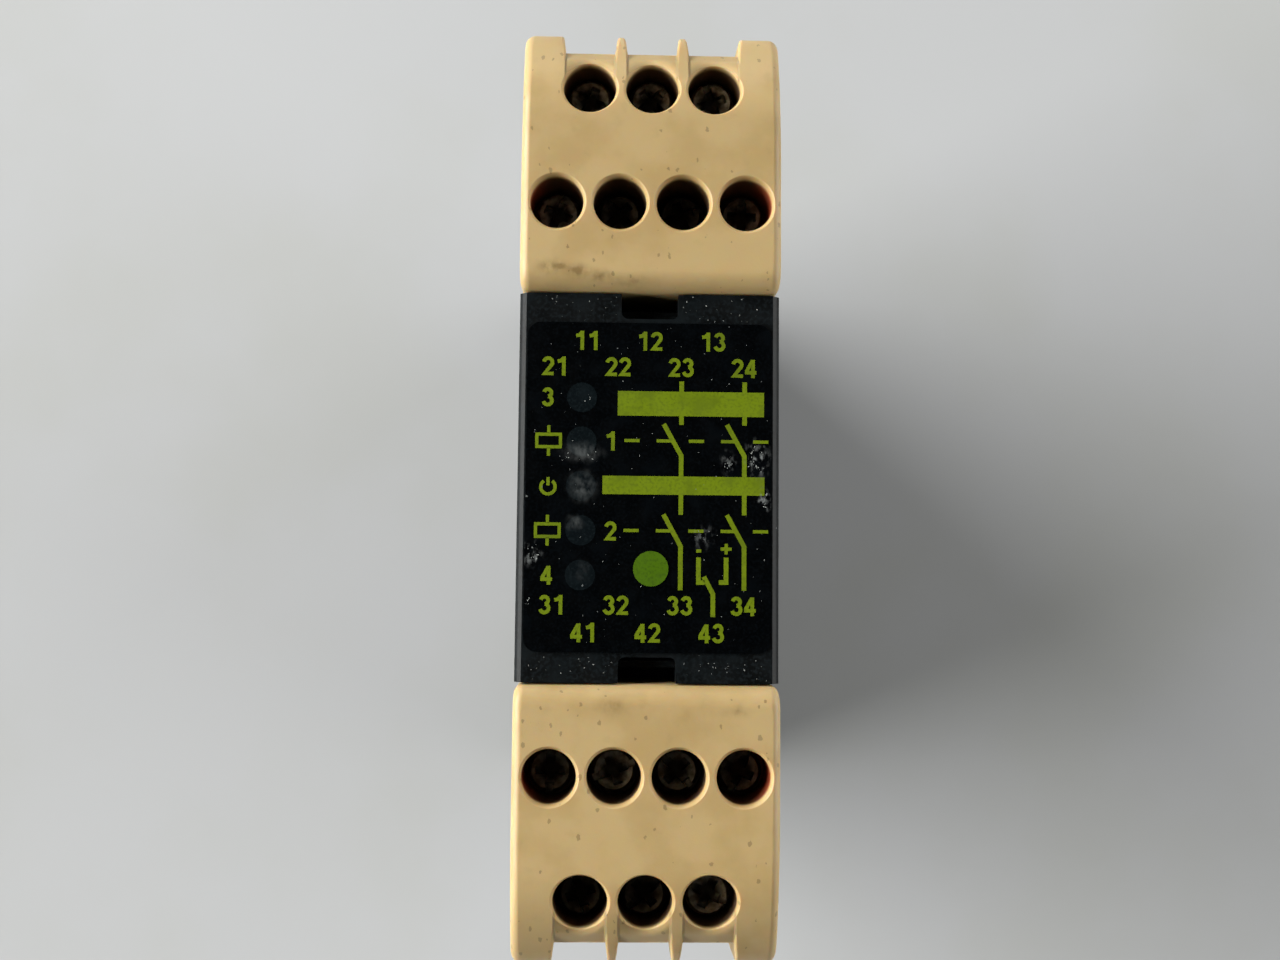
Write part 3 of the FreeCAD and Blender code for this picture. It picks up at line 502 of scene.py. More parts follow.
# Whole screws darkened by their share: dirt and painted shade of the deep holes
soiled = add_node(tree, "ShaderNodeAttribute", attribute_name="soiled").outputs["Fac"]
plating_soiled_and_shaded = tinted(shader.inputs["Base Color"].links[0].from_socket, RECESS_GRIME_AND_SHADE, soiled)
give(shader, {"Base Color": tinted(plating_soiled_and_shaded, RECESS_GRIME_AND_SHADE, grime_and_shade)})
print(zinc_plated_steel.name, "with grime:", len(tree.nodes), "nodes")

# %% [markdown]
# ## Finishes of the inside
# The boards and parts inside show only through the vents and when a block is pulled, so their finishes stay simple
# but are still those of the real materials: green solder mask, pale relay cases, a sleeved capacitor and black chips.

# %% Inside finishes
def moulded(name, base, shade, roughness, patch_mm):
    material, shader, where = new_material(name)
    give(shader, {
        "Base Color": tinted(base, shade, cloud(where, patch_mm, low=0.35, high=0.7)),
        "Roughness": roughness,
        "Normal": grain(where, size_mm=0.2, depth_mm=0.008),
    })
    return material


solder_mask = moulded("solder_mask", "#1d5a34", "#174a2b", 0.35, 3.0)
relay_thermoplastic = moulded("relay_thermoplastic", "#d8d2bf", "#cbc4b0", 0.40, 4.0)
capacitor_sleeve = moulded("capacitor_sleeve", "#22262f", "#2b303a", 0.35, 3.0)
chip_epoxy = moulded("chip_epoxy", "#1b1c1d", "#232425", 0.55, 1.5)
led_epoxy = moulded("led_epoxy", "#9a9f9c", "#8d928f", 0.25, 1.0)
print("inside finishes:", solder_mask.name, relay_thermoplastic.name, capacitor_sleeve.name)
print("resins:", chip_epoxy.name, led_epoxy.name)

# %% [markdown]
# ## Smooth copies of the CAD nodes
# A CAD node arrives as loose flat triangles, so its rounded corners would show as facets. A copy gets its points
# merged and its flat faces joined, then a small bevel on the edges that the moulding tool leaves clearly round, and
# normals weighted by face size, which keep big faces flat and let narrow ones turn the light. The copy rides on the
# same body and stands for the node. On the blocks, the walls of the wire pockets also move outwards by a third of a
# millimetre, to where the photograph shows them.

# %% Smooth copies
MERGE_MM = 0.0005
FLAT_DEG = 0.4
SHARP_DEG = 35
BLOCK_SHARP_DEG = 25
ROUND_SEGMENTS = 3


def apply_modifiers(piece):
    bpy.context.view_layer.update()
    made = bpy.data.meshes.new_from_object(piece.evaluated_get(bpy.context.evaluated_depsgraph_get()))
    piece.modifiers.clear()
    piece.data = made


def finish_mesh(piece, material):
    piece.data.materials.clear()
    piece.data.materials.append(material)
    return piece


def smooth_copy(name, material, sharp_deg=SHARP_DEG, round_mm=0.0, rounded=None, reshape=None):
    """Copy of a node with even shading. Reshape may move its points, and rounded picks the sharp edges to round."""
    source = nodes[name]
    shape = bmesh.new()
    shape.from_mesh(source.data)
    bmesh.ops.remove_doubles(shape, verts=shape.verts, dist=MERGE_MM * MM)
    bmesh.ops.dissolve_limit(shape, angle_limit=math.radians(FLAT_DEG), verts=shape.verts, edges=shape.edges)
    if reshape:
        reshape(shape)
    weight = shape.edges.layers.float.new("bevel_weight_edge")
    for face in shape.faces:
        face.smooth = True
    for edge in shape.edges:
        edge.smooth = edge.calc_face_angle(0.0) < math.radians(sharp_deg)
        edge[weight] = float(bool(rounded) and not edge.smooth and rounded(edge))
    mesh = bpy.data.meshes.new(name + "_smooth")
    shape.to_mesh(mesh)
    shape.free()
    for layer in [a for a in mesh.attributes if a.name == "custom_normal"]:
        mesh.attributes.remove(layer)
    piece = put_in_scene(mesh.name, mesh)
    if rounded:
        bevel = piece.modifiers.new("rounding", "BEVEL")
        bevel.width = round_mm * MM
        bevel.segments = ROUND_SEGMENTS
        bevel.limit_method = "WEIGHT"
        bevel.use_clamp_overlap = False
    even = piece.modifiers.new("even_normals", "WEIGHTED_NORMAL")
    even.keep_sharp = True
    apply_modifiers(piece)
    finish_mesh(piece, material)
    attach(piece, source["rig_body"])
    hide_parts(name)
    return piece


print("smooth copies ready")

# %% Copies of the blocks, the screws and the case
BLOCKS = ("upper", "lower")
TERMINALS = range(1, 8)
POCKET_FROM_MM, POCKET_ABOVE_MM, POCKET_ROUND_MM = 37.8, 108.0, 0.22
POCKET_WALL_MM, POCKET_TOP_MM, POCKET_SHIFT_MM, ON_WALL_MM = 38.65, 115.8, 0.33, 0.01


def at_pocket(edge):
    """Outer edges of the ribs and wire pockets, above the wire entries."""
    return edge.is_convex and all(
        abs(v.co.y) > POCKET_FROM_MM * MM and v.co.z > POCKET_ABOVE_MM * MM for v in edge.verts)


def shift_pocket_walls(shape):
    """Moves the walls of the wire pockets a little outwards."""
    for v in shape.verts:
        on_wall = abs(abs(v.co.y) - POCKET_WALL_MM * MM) < ON_WALL_MM * MM
        if on_wall and abs(v.co.x) < (POCKETS_HALF_MM + POCKET_SOFT_MM) * MM and v.co.z < POCKET_TOP_MM * MM:
            v.co.y += math.copysign(POCKET_SHIFT_MM * MM, v.co.y)


blocks = [smooth_copy(f"{block}_block", cream_polyamide, BLOCK_SHARP_DEG, POCKET_ROUND_MM, at_pocket,
                      shift_pocket_walls) for block in BLOCKS]
screws = [smooth_copy(f"{block}_screw_{i}", zinc_plated_steel) for block in BLOCKS for i in TERMINALS]
case = [smooth_copy(name, black_polyamide) for name in ("housing_tub", "side_cover")]
plate = smooth_copy("front_plate", plate_polyamide)
latch = smooth_copy("rail_latch", latch_polyamide)
label = smooth_copy("front_label", polyester_film)
sticker = smooth_copy("check_sticker", green_vinyl)
for piece in blocks + case + [plate, latch, label, sticker]:
    print(piece.name, len(piece.data.polygons), "faces")

# %% [markdown]
# ## Normals and depths on the terminal blocks
# The front of a block is flat at first and then turns down towards its end. The CAD mesh gives this in three broad
# strips, which would show streaks beside the holes. So each corner on the front gets its direction from a formula
# that follows the photograph, where the front stays flat for longer and then turns faster than the solid does. The
# rounded long sides and the edge beside the front plate follow it too. The narrow slope round a hole takes the
# direction of the hole's wall at its inner edge and leans towards the front at its outer one, which gives the soft
# round of a moulding. Points in a hole get their depth below its rim, and screws the place of their axis and their
# share of dirt and painted shade.

# %% Normals and depths
NOSE_FROM_MM, NOSE_RADIUS_MM = 27.55, 34.0
SEEN_FROM_MM, SEEN_RADIUS_MM = 32.7, 9.0
ON_FRONT_MM, SIDE_ROUND_MM = 0.02, 1.0
PLATE_EDGE_MM, PLATE_ROUND_MM, PLATE_FLAT_MM = 17.0, 2.2, 0.45
SHARES_FRONT = 0.6  # cosine between the front and a face that runs on from it
SIDE_LEAN = math.radians(35)
BORE_RADIUS_MM, RIM_RADIUS_MM, RIM_DEPTH_MM = 2.325, 2.75, 0.25
RIM_STEEP, RIM_SHARE = 0.9, 0.6
screw_boxes = [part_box(f"{block}_screw_{i}") for block in BLOCKS for i in TERMINALS]
screw_axes = [((low + high) / 2).xy for low, high in screw_boxes]


def below_front(point):
    """Depth of a point below a block's front, in millimetres."""
    past = max(abs(point.y) / MM - NOSE_FROM_MM, 0.0)
    return (front_z - point.z) / MM - NOSE_RADIUS_MM + math.sqrt(NOSE_RADIUS_MM ** 2 - past ** 2)


def front_lean(point):
    """Angle by which a block's front leans towards its end."""
    past = max(abs(point.y) / MM - SEEN_FROM_MM, 0.0) / SEEN_RADIUS_MM
    return math.copysign(math.asin(min(past, 1.0)), point.y)


def plate_side_normal(point, even):
    """The direction of the round edge beside the front plate, which stays flat for longer than the solid's."""
    side = math.copysign(1.0, point.y)
    out = PLATE_ROUND_MM * math.sin(math.atan2(-side * even.y, even.z))
    lean = math.asin(min(max(out - PLATE_FLAT_MM, 0.0) / (PLATE_ROUND_MM - PLATE_FLAT_MM), 1.0))
    return Vector((even.x, 0, 0)) + Vector((0, -side * math.sin(lean), math.cos(lean))) * math.hypot(even.y, even.z)


def seen_normal(face, point, even):
    """The direction of a block's surface at a corner, or its even normal away from the front and the rims."""
    lean = front_lean(point)
    front = Vector((0, math.sin(lean), math.cos(lean)))
    depth = below_front(point)
    inward = min((axis - point.xy for axis in screw_axes), key=lambda offset: offset.length)
    out = inward.length / MM
    faces_hole = 0 < face.normal.z < RIM_STEEP and face.normal.xy.dot(inward) > 0
    if faces_hole and out < RIM_RADIUS_MM and abs(depth) < 2 * RIM_DEPTH_MM:
        share = RIM_SHARE * max(out - BORE_RADIUS_MM, 0.0) / RIM_DEPTH_MM
        return inward.to_3d().normalized().lerp(front, share).normalized()
    if abs(depth) < ON_FRONT_MM and face.normal.dot(front) > SHARES_FRONT:
        return front
    past_flat = abs(point.y) > NOSE_FROM_MM * MM
    if past_flat and depth < SIDE_ROUND_MM and abs(math.atan2(even.y, even.z) - lean) < SIDE_LEAN:
        return Vector((even.x, 0, 0)) + front * math.hypot(even.y, even.z)
    beside_plate = abs(point.y) < (PLATE_EDGE_MM + PLATE_ROUND_MM + MERGE_MM) * MM
    if beside_plate and depth < PLATE_ROUND_MM and even.z > 0:
        return plate_side_normal(point, even)
    return even


def set_normals(mesh):
    evens = [Vector(corner.vector) for corner in mesh.corner_normals]
    points = [mesh.vertices[corner.vertex_index].co for corner in mesh.loops]
    found = [seen_normal(face, points[i], evens[i]) for face in mesh.polygons for i in face.loop_indices]
    mesh.normals_split_custom_set(found)


def mark_bores(mesh):
    """Writes how deep each point of a screwdriver hole lies below its rim, in millimetres, and 0 elsewhere."""
    depths = mesh.attributes.new("bore_depth", "FLOAT", "POINT")
    reach = (BORE_RADIUS_MM + RIM_DEPTH_MM / 2) * MM
    for axis in screw_axes:
        for v in [v for v in mesh.vertices if (v.co.xy - axis).length < reach]:
            depths.data[v.index].value = max(below_front(v.co) - RIM_DEPTH_MM, 0.0)


for piece in blocks:
    set_normals(piece.data)
    mark_bores(piece.data)
    print(piece.name, "has its normals and the depths of", len(screw_axes) // 2, "screwdriver holes")

# %% Axes and the share of dirt and painted shade of the screws
# Each screw's share of darkening all over: dirt and painted shade of its deep hole
SOILED_AND_SHADED = (0.35, 0.83, 0.92, 0.67, 0.33, 0.41, 0.0, 0.81, 0.63, 0.28, 0.70, 0.27, 0.82, 0.88)
for piece, axis, share in zip(screws, screw_axes, SOILED_AND_SHADED):
    points = len(piece.data.vertices)
    piece.data.attributes.new("axis_place", "FLOAT_VECTOR", "POINT").data.foreach_set("vector", [*axis, 0.0] * points)
    piece.data.attributes.new("soiled", "FLOAT", "POINT").data.foreach_set("value", [share] * points)
print(len(screws), "screws carry the place of their axis and how soiled they are")

# %% [markdown]
# ## Nodes that keep their own mesh
# The boards, the parts on them, the pins, the current bars and the clamps have flat faces and hardly show, so they
# need no smooth copy. Each slot of the CAD record names one real material, and a table gives each slot its finish.

# %% Finishes of the nodes that stay as they are
FINISH_OF_SLOT = {
    "circuit_board": solder_mask,
    "relay_case": relay_thermoplastic,
    "capacitor_can": capacitor_sleeve,
    "chip_resin": chip_epoxy,
    "led_resin": led_epoxy,
    "header_plastic": header_polyamide,
    "pin_brass": tinned_brass,
    "contact_brass": tinned_brass,
    "clamp_steel": clamp_zinc,
}
kept = [name for name in nodes if slot_of[name] in FINISH_OF_SLOT]
for name in kept:
    finish_mesh(nodes[name], FINISH_OF_SLOT[slot_of[name]])
print(len(kept), "CAD nodes keep their own mesh")

# %% [markdown]
# ## Latch spring
# The spring that pushes the latch home is a coil of round wire. A coil follows a rule, so Geometry Nodes make it: a
# spiral curve is swept with a small circle. The tree takes its sizes from named inputs. Its result is turned to a
# plain mesh, because the export drops live node trees.

# %% Node tree inputs and results
def new_tree(name, sizes):
    """A Geometry Nodes tree with one float input for each size, and its input and output nodes."""
    tree = bpy.data.node_groups.new(name, "GeometryNodeTree")
    for size in sizes:
        tree.interface.new_socket(size, in_out="INPUT", socket_type="NodeSocketFloat")
    tree.interface.new_socket("Geometry", in_out="OUTPUT", socket_type="NodeSocketGeometry")
    return tree, add_node(tree, "NodeGroupInput").outputs


def finish_tree(tree, geometry, material):
    """Ends a tree in real geometry with its material."""
    real = add_node(tree, "GeometryNodeRealizeInstances", {"Geometry": geometry})
    coated = add_node(tree, "GeometryNodeSetMaterial", {"Geometry": real, "Material": material})
    add_node(tree, "NodeGroupOutput", {"Geometry": coated})


def grown(name, tree, sizes, place):
    """Runs a tree with these sizes and keeps its result as a plain mesh, moved to its place."""
    piece = put_in_scene(name, bpy.data.meshes.new(name))
    modifier = piece.modifiers.new(name, "NODES")
    modifier.node_group = tree
    for item in tree.interface.items_tree:
        if item.in_out == "INPUT":
            modifier[item.identifier] = float(sizes[item.name])
    apply_modifiers(piece)
    piece.data.transform(place)
    return piece


print("tree helpers ready")

# %% Latch spring
SPRING_WIRE_MM, SPRING_TURNS, LATCH_TRAVEL_MM = 0.5, 8, 3.5
TURN_STEPS, WIRE_SIDES = 32, 10
low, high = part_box("latch_spring")
spring_diameter, spring_length = high.x - low.x, high.y - low.y
middle = (low + high) / 2

coil_tree, given = new_tree("coil_spring", ["Radius", "Height", "Turns", "Wire"])
spiral = add_node(coil_tree, "GeometryNodeCurveSpiral",
                  {"Resolution": TURN_STEPS, "Rotations": given["Turns"], "Start Radius": given["Radius"],
                   "End Radius": given["Radius"], "Height": given["Height"]})
section = add_node(coil_tree, "GeometryNodeCurvePrimitiveCircle", {"Resolution": WIRE_SIDES, "Radius": given["Wire"]})
wire = add_node(coil_tree, "GeometryNodeCurveToMesh", {"Curve": spiral, "Profile Curve": section, "Fill Caps": True})
finish_tree(coil_tree, wire, drawn_wire)
lower_end = Matrix.Translation((middle.x, low.y + SPRING_WIRE_MM / 2 * MM, middle.z))
spring = grown("latch_coil", coil_tree,
               {"Radius": (spring_diameter - SPRING_WIRE_MM * MM) / 2, "Height": spring_length - SPRING_WIRE_MM * MM,
                "Turns": SPRING_TURNS, "Wire": SPRING_WIRE_MM / 2 * MM},
               lower_end @ Matrix.Rotation(math.radians(-90), 4, "X"))
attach(spring, "housing")
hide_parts("latch_spring")
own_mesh(spring)
print("spring of", SPRING_TURNS, "turns,", len(spring.data.polygons), "faces")

# %% [markdown]
# ## Print on the label
# The label shows where each terminal is and a contact diagram. The ink is a thin raised layer, so lines, bars and
# numbers are flat shapes with a real thickness that sit on the film. Lines are drawn as ribbons with square ends. The
# plain terminal numbers are drawn the same way, a few strokes to each, because ribbons have the bold even weight of
# screen printing and a text object would need a font file for that.

# %% Ribbons
LINE_MM, THIN_LINE_MM = 0.40, 0.28
MITRE_LEAST = 0.5  # keeps sharp corners from growing long points
film_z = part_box("front_label")[1].z

print_shape = bmesh.new()


def add_line(points_mm, width_mm=LINE_MM, lift_mm=0.0):
    """A ribbon along points, with mitred corners."""
    points = [Vector(p) for p in points_mm]
    rims = []
    for i, point in enumerate(points):
        before = (point - points[i - 1]).normalized() if i else (points[1] - point).normalized()
        after = (points[i + 1] - point).normalized() if i + 1 < len(points) else before
        normal = Vector((-(before + after).y, (before + after).x)).normalized()
        reach = width_mm / 2 / max(normal.dot(Vector((-before.y, before.x))), MITRE_LEAST)
        edges = (point - normal * reach, point + normal * reach)
        rims.append([print_shape.verts.new((*place * MM, film_z + lift_mm * MM)) for place in edges])
    for (right0, left0), (right1, left1) in zip(rims, rims[1:]):
        print_shape.faces.new((right0, right1, left1, left0))


print("ribbons ready")

# %% Contact diagram
BARS_MM = [(-2.60, 10.15, 6.15, 8.30), (-3.85, 10.20, -0.70, 0.90)]
POLES_MM = (2.95, 8.45)
POLE_LINES_MM = [  # x from the pole
    [(0, 8.30), (0, 9.20)],
    [(0, 5.40), (0, 6.15)],
    [(-1.53, 5.45), (0, 2.70), (0, 0.90)],
    [(0, -0.70), (0, -2.42)],
    [(-1.50, -2.40), (0, -5.13), (0, -8.92)],
]
COILS_MM = [(-8.55, 3.90), (-8.55, -3.87)]
COIL_LINES_MM = [  # from the middle of the coil
    [(0, 0.64), (0, 1.33)],
    [(0, -0.64), (0, -1.33)],
    [(-1.15, -0.54), (1.15, -0.54)],
    [(-1.02, -0.40), (-1.02, 0.40)],
    [(-1.15, 0.54), (1.15, 0.54)],
    [(1.02, -0.40), (1.02, 0.40)],
]
SUPPLY_LINES_MM = [
    [(4.51, -6.08), (4.51, -8.24), (5.05, -8.24)],
    [(4.98, -7.74), (5.77, -9.22), (5.77, -11.19)],
    [(6.90, -6.08), (6.90, -8.22), (6.28, -8.22)],
]
SUPPLY_SIGNS_MM = [
    [(4.30, -5.53), (4.75, -5.53)],
    [(6.42, -5.34), (7.38, -5.34)],
    [(6.90, -4.88), (6.90, -5.20)],
    [(6.90, -5.48), (6.90, -5.80)],
]

for x0, x1, y0, y1 in BARS_MM:
    corners = ((x0, y0), (x1, y0), (x1, y1), (x0, y1))
    print_shape.faces.new([print_shape.verts.new((x * MM, y * MM, film_z)) for x, y in corners])
for pole in POLES_MM:
    for line in POLE_LINES_MM:
        add_line([(pole + x, y) for x, y in line])
for coil_x, coil_y in COILS_MM:
    for line in COIL_LINES_MM:
        add_line([(coil_x + x, coil_y + y) for x, y in line], THIN_LINE_MM)
for line in SUPPLY_LINES_MM:
    add_line(line)
for line in SUPPLY_SIGNS_MM:
    add_line(line, THIN_LINE_MM)
print(len(print_shape.faces), "printed fields")

# %% Numbers
NUMBER_MM = 1.68
STROKE, ADVANCE = 0.19, 0.70  # of the number's height
STROKE_LIFT_MM = 0.004  # a stroke lies on the one that it crosses
PRINT_SHIFT_MM = 0.22
NUMBER_ROWS_MM = [(3, 12.70), (4, 10.42), (4, -10.25), (3, -12.60)]  # numbers in the row, and its y
SINGLES_MM = {"1": (-3.10, 3.92), "2": (-3.05, -3.88), "3": (-8.60, 7.70), "4": (-8.50, -7.70)}
POWER_X_MM, POWER_Y_MM, POWER_RADIUS_MM, POWER_TOP_MM = -8.55, -0.12, 0.62, 0.72
POWER_ARC_DEG = (125, 415)


def arc(x, y, radius, start_deg, end_deg, steps=10):
    angles = [math.radians(start_deg + (end_deg - start_deg) * i / steps) for i in range(steps + 1)]
    return [(x + radius * math.cos(a), y + radius * math.sin(a)) for a in angles]


STROKES = {
    "1": [[(0.10, 0.745), (0.27, 0.775), (0.42, 0.93)], [(0.42, 0.0), (0.42, 1.0)]],
    "2": [arc(0.31, 0.685, 0.22, 172, -38) + [(0.13, 0.10), (0.60, 0.10)]],
    "3": [arc(0.30, 0.715, 0.19, 168, -82), arc(0.30, 0.315, 0.22, 82, -168)],
    "4": [[(0.42, 0.0), (0.42, 0.96)], [(0.40, 0.92), (0.075, 0.33)], [(0.0, 0.28), (0.60, 0.28)]],
}


def add_text(body, x, y):
    """Numbers drawn as ribbons in a plain bold hand, centred on a place."""
    start = x - len(body) * ADVANCE / 2 * NUMBER_MM
    for digit in body:
        for i, stroke in enumerate(STROKES[digit]):
            places = [(start + a * NUMBER_MM, y + (b - 0.5) * NUMBER_MM) for a, b in stroke]
            add_line(places, STROKE * NUMBER_MM, i * STROKE_LIFT_MM)
        start += ADVANCE * NUMBER_MM


for row, (count, y) in enumerate(NUMBER_ROWS_MM, start=1):
    for i in range(count):
        add_text(f"{row}{i + 1}", PRINT_SHIFT_MM + (i - (count - 1) / 2) * PITCH_MM, y)
for number, (x, y) in SINGLES_MM.items():
    add_text(number, x, y)
add_line(arc(POWER_X_MM, POWER_Y_MM, POWER_RADIUS_MM, *POWER_ARC_DEG, steps=24), THIN_LINE_MM)
add_line([(POWER_X_MM, 0.0), (POWER_X_MM, POWER_TOP_MM)], THIN_LINE_MM)
print(len(print_shape.faces), "faces with the numbers")

# %% Ink layer
INK_THICKNESS_MM = 0.02
LABEL_SHIFT_MM = -0.15  # the print sits a little to the left of the holes

bmesh.ops.recalc_face_normals(print_shape, faces=print_shape.faces)
bmesh.ops.translate(print_shape, vec=(LABEL_SHIFT_MM * MM, 0, 0), verts=print_shape.verts)
for face in [f for f in print_shape.faces if f.normal.z < 0]:
    face.normal_flip()
mesh = bpy.data.meshes.new("label_print")
print_shape.to_mesh(mesh)
print_shape.free()
piece = put_in_scene(mesh.name, mesh)
thick = piece.modifiers.new("ink_layer", "SOLIDIFY")
thick.thickness = INK_THICKNESS_MM * MM
thick.offset = 1.0
apply_modifiers(piece)
piece.data.shade_flat()
finish_mesh(piece, lime_ink)
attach(piece, "housing")
print(piece.name, len(piece.data.polygons), "faces")

# %% [markdown]
# ## Dashes and light windows
# The dashed lines tie the contacts to their coils, and five round windows let the lights shine through the film. Both
# repeat at an even step, so each gets a small tree: a line of points with one shape on every point.

# %% Dashes
def repeated(tree, given, axis, shape):
    """The shape on a line of points along an axis, with the tree's own count and step."""
    offset = add_node(tree, "ShaderNodeCombineXYZ", {axis: given["Step"]})
    points = add_node(tree, "GeometryNodeMeshLine", {"Count": given["Count"], "Offset": offset})
    return add_node(tree, "GeometryNodeInstanceOnPoints", {"Points": points, "Instance": shape})


DASH_MM, DASH_STEP_MM, DASH_START_MM, DASH_COUNT = 1.32, 2.80, -1.33, 5
DASH_THICKNESS_MM = 0.014  # a little below the contact arms that cross them
DASH_ROWS_MM = {"upper": 3.98, "lower": -3.82}
dash_tree, given = new_tree("dashed_line", ["Count", "Step", "Length", "Width", "Thickness"])
size = add_node(dash_tree, "ShaderNodeCombineXYZ",
                {"X": given["Length"], "Y": given["Width"], "Z": given["Thickness"]})
dash = add_node(dash_tree, "GeometryNodeMeshCube", {"Size": size})
finish_tree(dash_tree, repeated(dash_tree, given, "X", dash), lime_ink)
for line, y in DASH_ROWS_MM.items():
    start = Matrix.Translation(((DASH_START_MM + LABEL_SHIFT_MM) * MM, y * MM, film_z + DASH_THICKNESS_MM / 2 * MM))
    dashed = grown(f"dashed_line_{line}", dash_tree,
                   {"Count": DASH_COUNT, "Step": DASH_STEP_MM * MM, "Length": DASH_MM * MM,
                    "Width": THIN_LINE_MM * MM, "Thickness": DASH_THICKNESS_MM * MM}, start)
    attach(dashed, "housing")
    print(dashed.name, len(dashed.data.polygons), "faces")

# %% Light windows
WINDOW_MM, WINDOW_RISE_MM, WINDOW_SIDES = 2.6, 0.012, 48
LIGHTS = range(1, 6)
led_boxes = [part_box(f"status_led_{i}") for i in LIGHTS]
led_x = (led_boxes[0][0].x + led_boxes[0][1].x) / 2
led_ys = sorted((low.y + high.y) / 2 for low, high in led_boxes)
window_tree, given = new_tree("light_windows", ["Count", "Step", "Radius", "Rise"])
window = add_node(window_tree, "GeometryNodeMeshCylinder",
                  {"Vertices": WINDOW_SIDES, "Radius": given["Radius"], "Depth": given["Rise"]})
finish_tree(window_tree, repeated(window_tree, given, "Y", window), window_film)
light_windows = grown("light_windows", window_tree,
                      {"Count": len(led_ys), "Step": led_ys[1] - led_ys[0], "Radius": WINDOW_MM / 2 * MM,
                       "Rise": WINDOW_RISE_MM * MM},
                      Matrix.Translation((led_x + LABEL_SHIFT_MM * MM, led_ys[0], film_z)))
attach(light_windows, "housing")
print("windows at x", round(led_x / MM, 2), "mm,", len(light_windows.data.polygons), "faces")

# %% [markdown]
# ## Dust flakes
# Years in a cabinet leave dust on the front. Pale flakes lie on the label and on the bare plate beside the lever
# notches, and crumbs of dried dirt sit where the film is rubbed. Geometry Nodes scatter them: points on a flat field,
# and on each a squashed ball, turned and scaled at random. The seed is fixed, so every run gives the same dust.

# %% Dust flakes
DUST_PALE, DUST_DULL = "#aeb2af", "#7e8381"
THINNEST, FULLEST = (0.4, 0.15, 0.15), (1.0, 0.5, 0.25)  # length, width and height of a flake
SMALLEST = 0.45  # before squaring, which makes most flakes small
dry_dust = moulded("dry_dust", DUST_PALE, DUST_DULL, 0.8, 0.3)
flake_tree, given = new_tree("dust_flakes", ["Width", "Length", "Density", "Largest", "Seed"])
field = add_node(flake_tree, "GeometryNodeMeshGrid",
                 {"Size X": given["Width"], "Size Y": given["Length"], "Vertices X": 2, "Vertices Y": 2})
spots = add_node(flake_tree, "GeometryNodeDistributePointsOnFaces",
                 {"Mesh": field, "Density": given["Density"], "Seed": given["Seed"]})
ball = add_node(flake_tree, "GeometryNodeMeshIcoSphere", {"Radius": 0.5, "Subdivisions": 1})
shape = add_node(flake_tree, "FunctionNodeRandomValue",
                 {"Min": THINNEST, "Max": FULLEST, "Seed": 11}, data_type="FLOAT_VECTOR")
chance = add_node(flake_tree, "FunctionNodeRandomValue",
                  {"Min_001": SMALLEST, "Max_001": 1.0, "Seed": 12}, data_type="FLOAT")
mostly_small = add_node(flake_tree, "ShaderNodeMath", {0: chance, 1: 2.0}, operation="POWER")
size = add_node(flake_tree, "ShaderNodeMath", {0: mostly_small, 1: given["Largest"]}, operation="MULTIPLY")
scale = add_node(flake_tree, "ShaderNodeVectorMath", {0: shape, "Scale": size}, operation="SCALE")
angle = add_node(flake_tree, "FunctionNodeRandomValue",
                 {"Min_001": 0.0, "Max_001": 2 * math.pi, "Seed": 13}, data_type="FLOAT")
facing = add_node(flake_tree, "ShaderNodeCombineXYZ", {"Z": angle})
flakes = add_node(flake_tree, "GeometryNodeInstanceOnPoints",
                  {"Points": spots, "Instance": ball, "Rotation": facing, "Scale": scale})
finish_tree(flake_tree, flakes, dry_dust)
print("flakes of", dry_dust.name, "ready")

# %% Dusty fields
BLOCK_RISE_MM = 1.5
plate_z = front_z - BLOCK_RISE_MM * MM
LABEL_DUST_MM = [  # place x and y, size along both, number of flakes, largest flake
    (0.0, 0.0, 20.6, 28.4, 120, 0.20),
    (9.4, 2.5, 1.5, 2.4, 18, 0.38),
    (6.9, 2.1, 0.7, 1.4, 8, 0.28),
    (10.0, -1.1, 0.7, 1.3, 6, 0.34),
    (-10.0, -5.8, 1.1, 1.4, 10, 0.38),
    (-10.2, -9.9, 0.6, 0.6, 5, 0.28),
    (4.7, -4.3, 1.6, 1.4, 5, 0.26),
    (-5.9, 2.6, 3.8, 0.9, 8, 0.26),
    (-5.7, 7.7, 2.3, 0.8, 5, 0.26),
]
PLATE_DUST_MM = [(x, y, 7.8, 2.2, 22, 0.24) for x in (-6.65, 6.65) for y in (-15.6, 15.6)]
fields = [(film_z, *row) for row in LABEL_DUST_MM] + [(plate_z, *row) for row in PLATE_DUST_MM]
for i, (z, x, y, wide, long, count, largest) in enumerate(fields, start=1):
    dust = grown(f"dust_{i}", flake_tree,
                 {"Width": wide * MM, "Length": long * MM, "Density": count / (wide * long * MM * MM),
                  "Largest": largest * MM, "Seed": i}, Matrix.Translation((x * MM, y * MM, z)))
    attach(dust, "housing")
print(len(fields), "dusty fields, the last with", len(dust.data.polygons), "faces")

# %% [markdown]
# ## Floor, light and background
# The controller stands on its back on a pale table, with a large window to the left, a pale wall to the right and
# another beyond its far end. All three are area lamps far away and low, so the left edges are bright, the holes fall
# dark and a wide soft shadow lies to the right. The world is the rest of the room: walls round the horizon, darker on
# the near side, where someone stands, and a dim ceiling overhead, which leaves the black front dark. The camera sees
# the same room as everything else.

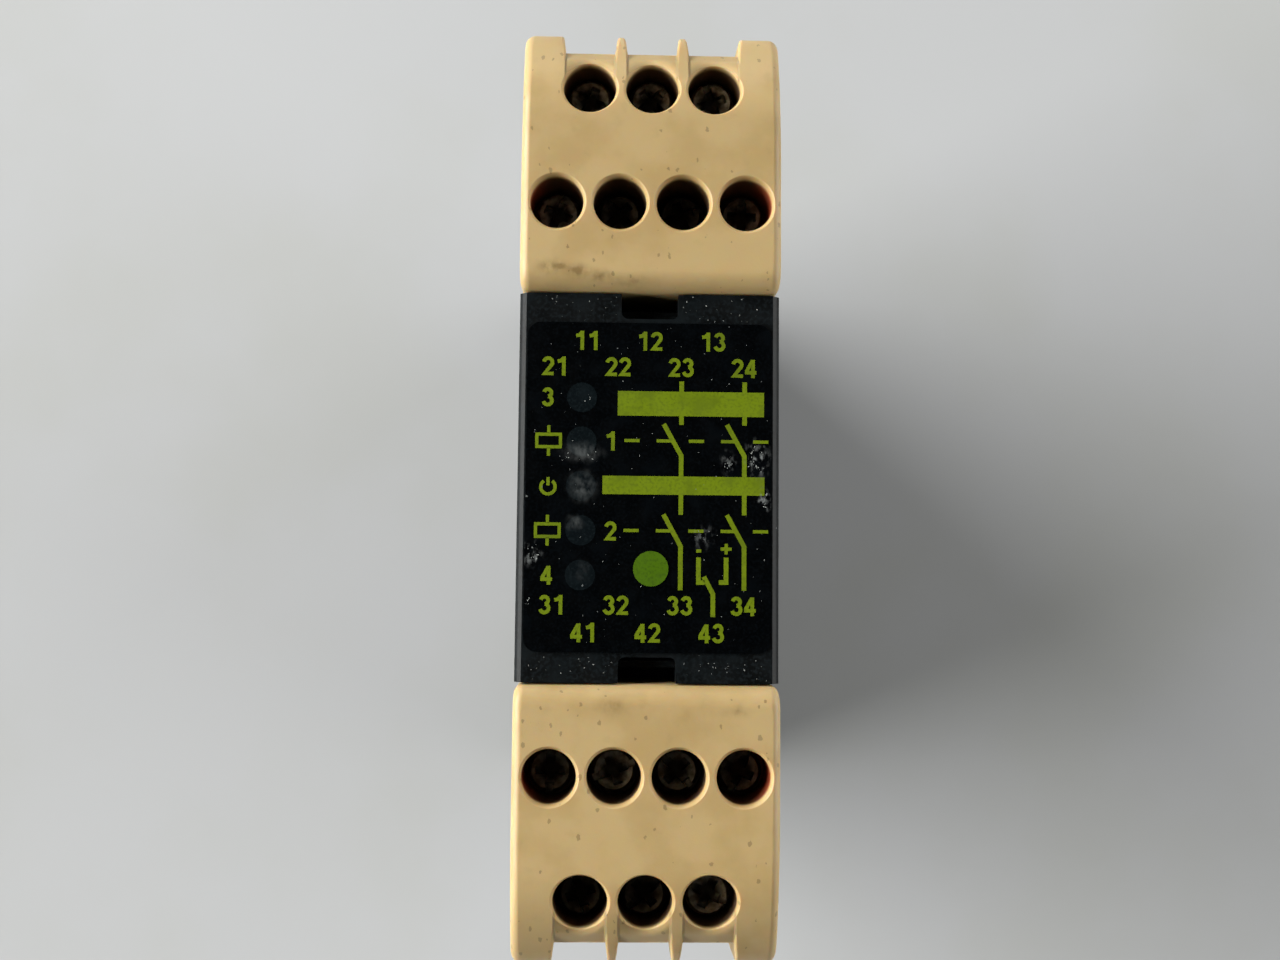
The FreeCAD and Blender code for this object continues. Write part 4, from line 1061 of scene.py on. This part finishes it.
# %% Floor
FLOOR_MM = 3000
TABLE_PALE, TABLE_WARM = "#c8cacd", "#c4c6c6"
pale_table, shader, where = new_material("pale_table")
give(shader, {
    "Base Color": tinted(TABLE_PALE, TABLE_WARM, cloud(where, 60.0, low=0.4, high=0.7)),
    "Roughness": 0.8,
    "Specular IOR Level": 0.15,
})
floor_mesh = bpy.data.meshes.new("floor")
half = FLOOR_MM / 2 * MM
floor_mesh.from_pydata([(-half, -half, 0), (half, -half, 0), (half, half, 0), (-half, half, 0)], [], [(0, 1, 2, 3)])
floor = finish_mesh(put_in_scene("floor", floor_mesh), pale_table)
print("floor", FLOOR_MM, "mm wide")

# %% Window light
LAMP_FAR_MM, DAYLIGHT = 2000, "#fffefa"
LAMPS = {  # direction, width and height in millimetres, watts
    "window": ((-1.0, 0.17, 0.40), 2400, 900, 95.0),
    "pale_wall": ((1.0, 0.10, 0.28), 2400, 900, 30.0),
    "far_wall": ((0.15, 1.0, 0.22), 2400, 700, 6.0),
}
for name, (side, wide_mm, tall_mm, watts) in LAMPS.items():
    light = bpy.data.lights.new(name, "AREA")
    light.shape = "RECTANGLE"
    light.size, light.size_y = wide_mm * MM, tall_mm * MM
    light.energy = watts
    light.color = linear(DAYLIGHT)[:3]
    holder = put_in_scene(name, light)
    direction = Vector(side).normalized()
    holder.location = Vector((0, 0, front_z)) + direction * LAMP_FAR_MM * MM
    holder.rotation_euler = direction.to_track_quat("Z", "Y").to_euler()
    print(name, watts, "W from", [round(c, 2) for c in holder.location])

# %% Room
ROOM_FAR, ROOM_NEAR, ROOM_HIGH = "#dfe1df", "#6e706e", "#1c1d1d"
BAND_FROM, BAND_TOP = 0.1, 0.62  # sines of the elevations between which the bright walls end
FAR_FADE = 0.7
world = bpy.data.worlds.new("room")
bpy.context.scene.world = world
world.use_nodes = True
tree = world.node_tree
tree.nodes.clear()
direction = add_node(tree, "ShaderNodeTexCoord")
height = add_node(tree, "ShaderNodeSeparateXYZ", {"Vector": direction.outputs["Generated"]})
rising = add_node(tree, "ShaderNodeMapRange", {
    "Value": height.outputs["Z"], "From Min": BAND_FROM, "From Max": BAND_TOP}, interpolation_type="SMOOTHSTEP")
far = add_node(tree, "ShaderNodeMapRange", {
    "Value": height.outputs["Y"], "From Min": -FAR_FADE, "From Max": FAR_FADE}, interpolation_type="SMOOTHSTEP")
walls = tinted(ROOM_NEAR, ROOM_FAR, far)
room = add_node(tree, "ShaderNodeBackground", {"Color": tinted(walls, ROOM_HIGH, rising)})
add_node(tree, "ShaderNodeOutputWorld", {"Surface": room})
bpy.context.scene.view_settings.view_transform = "Standard"
print("room light from", ROOM_FAR, "at the far wall to", ROOM_HIGH, "overhead")
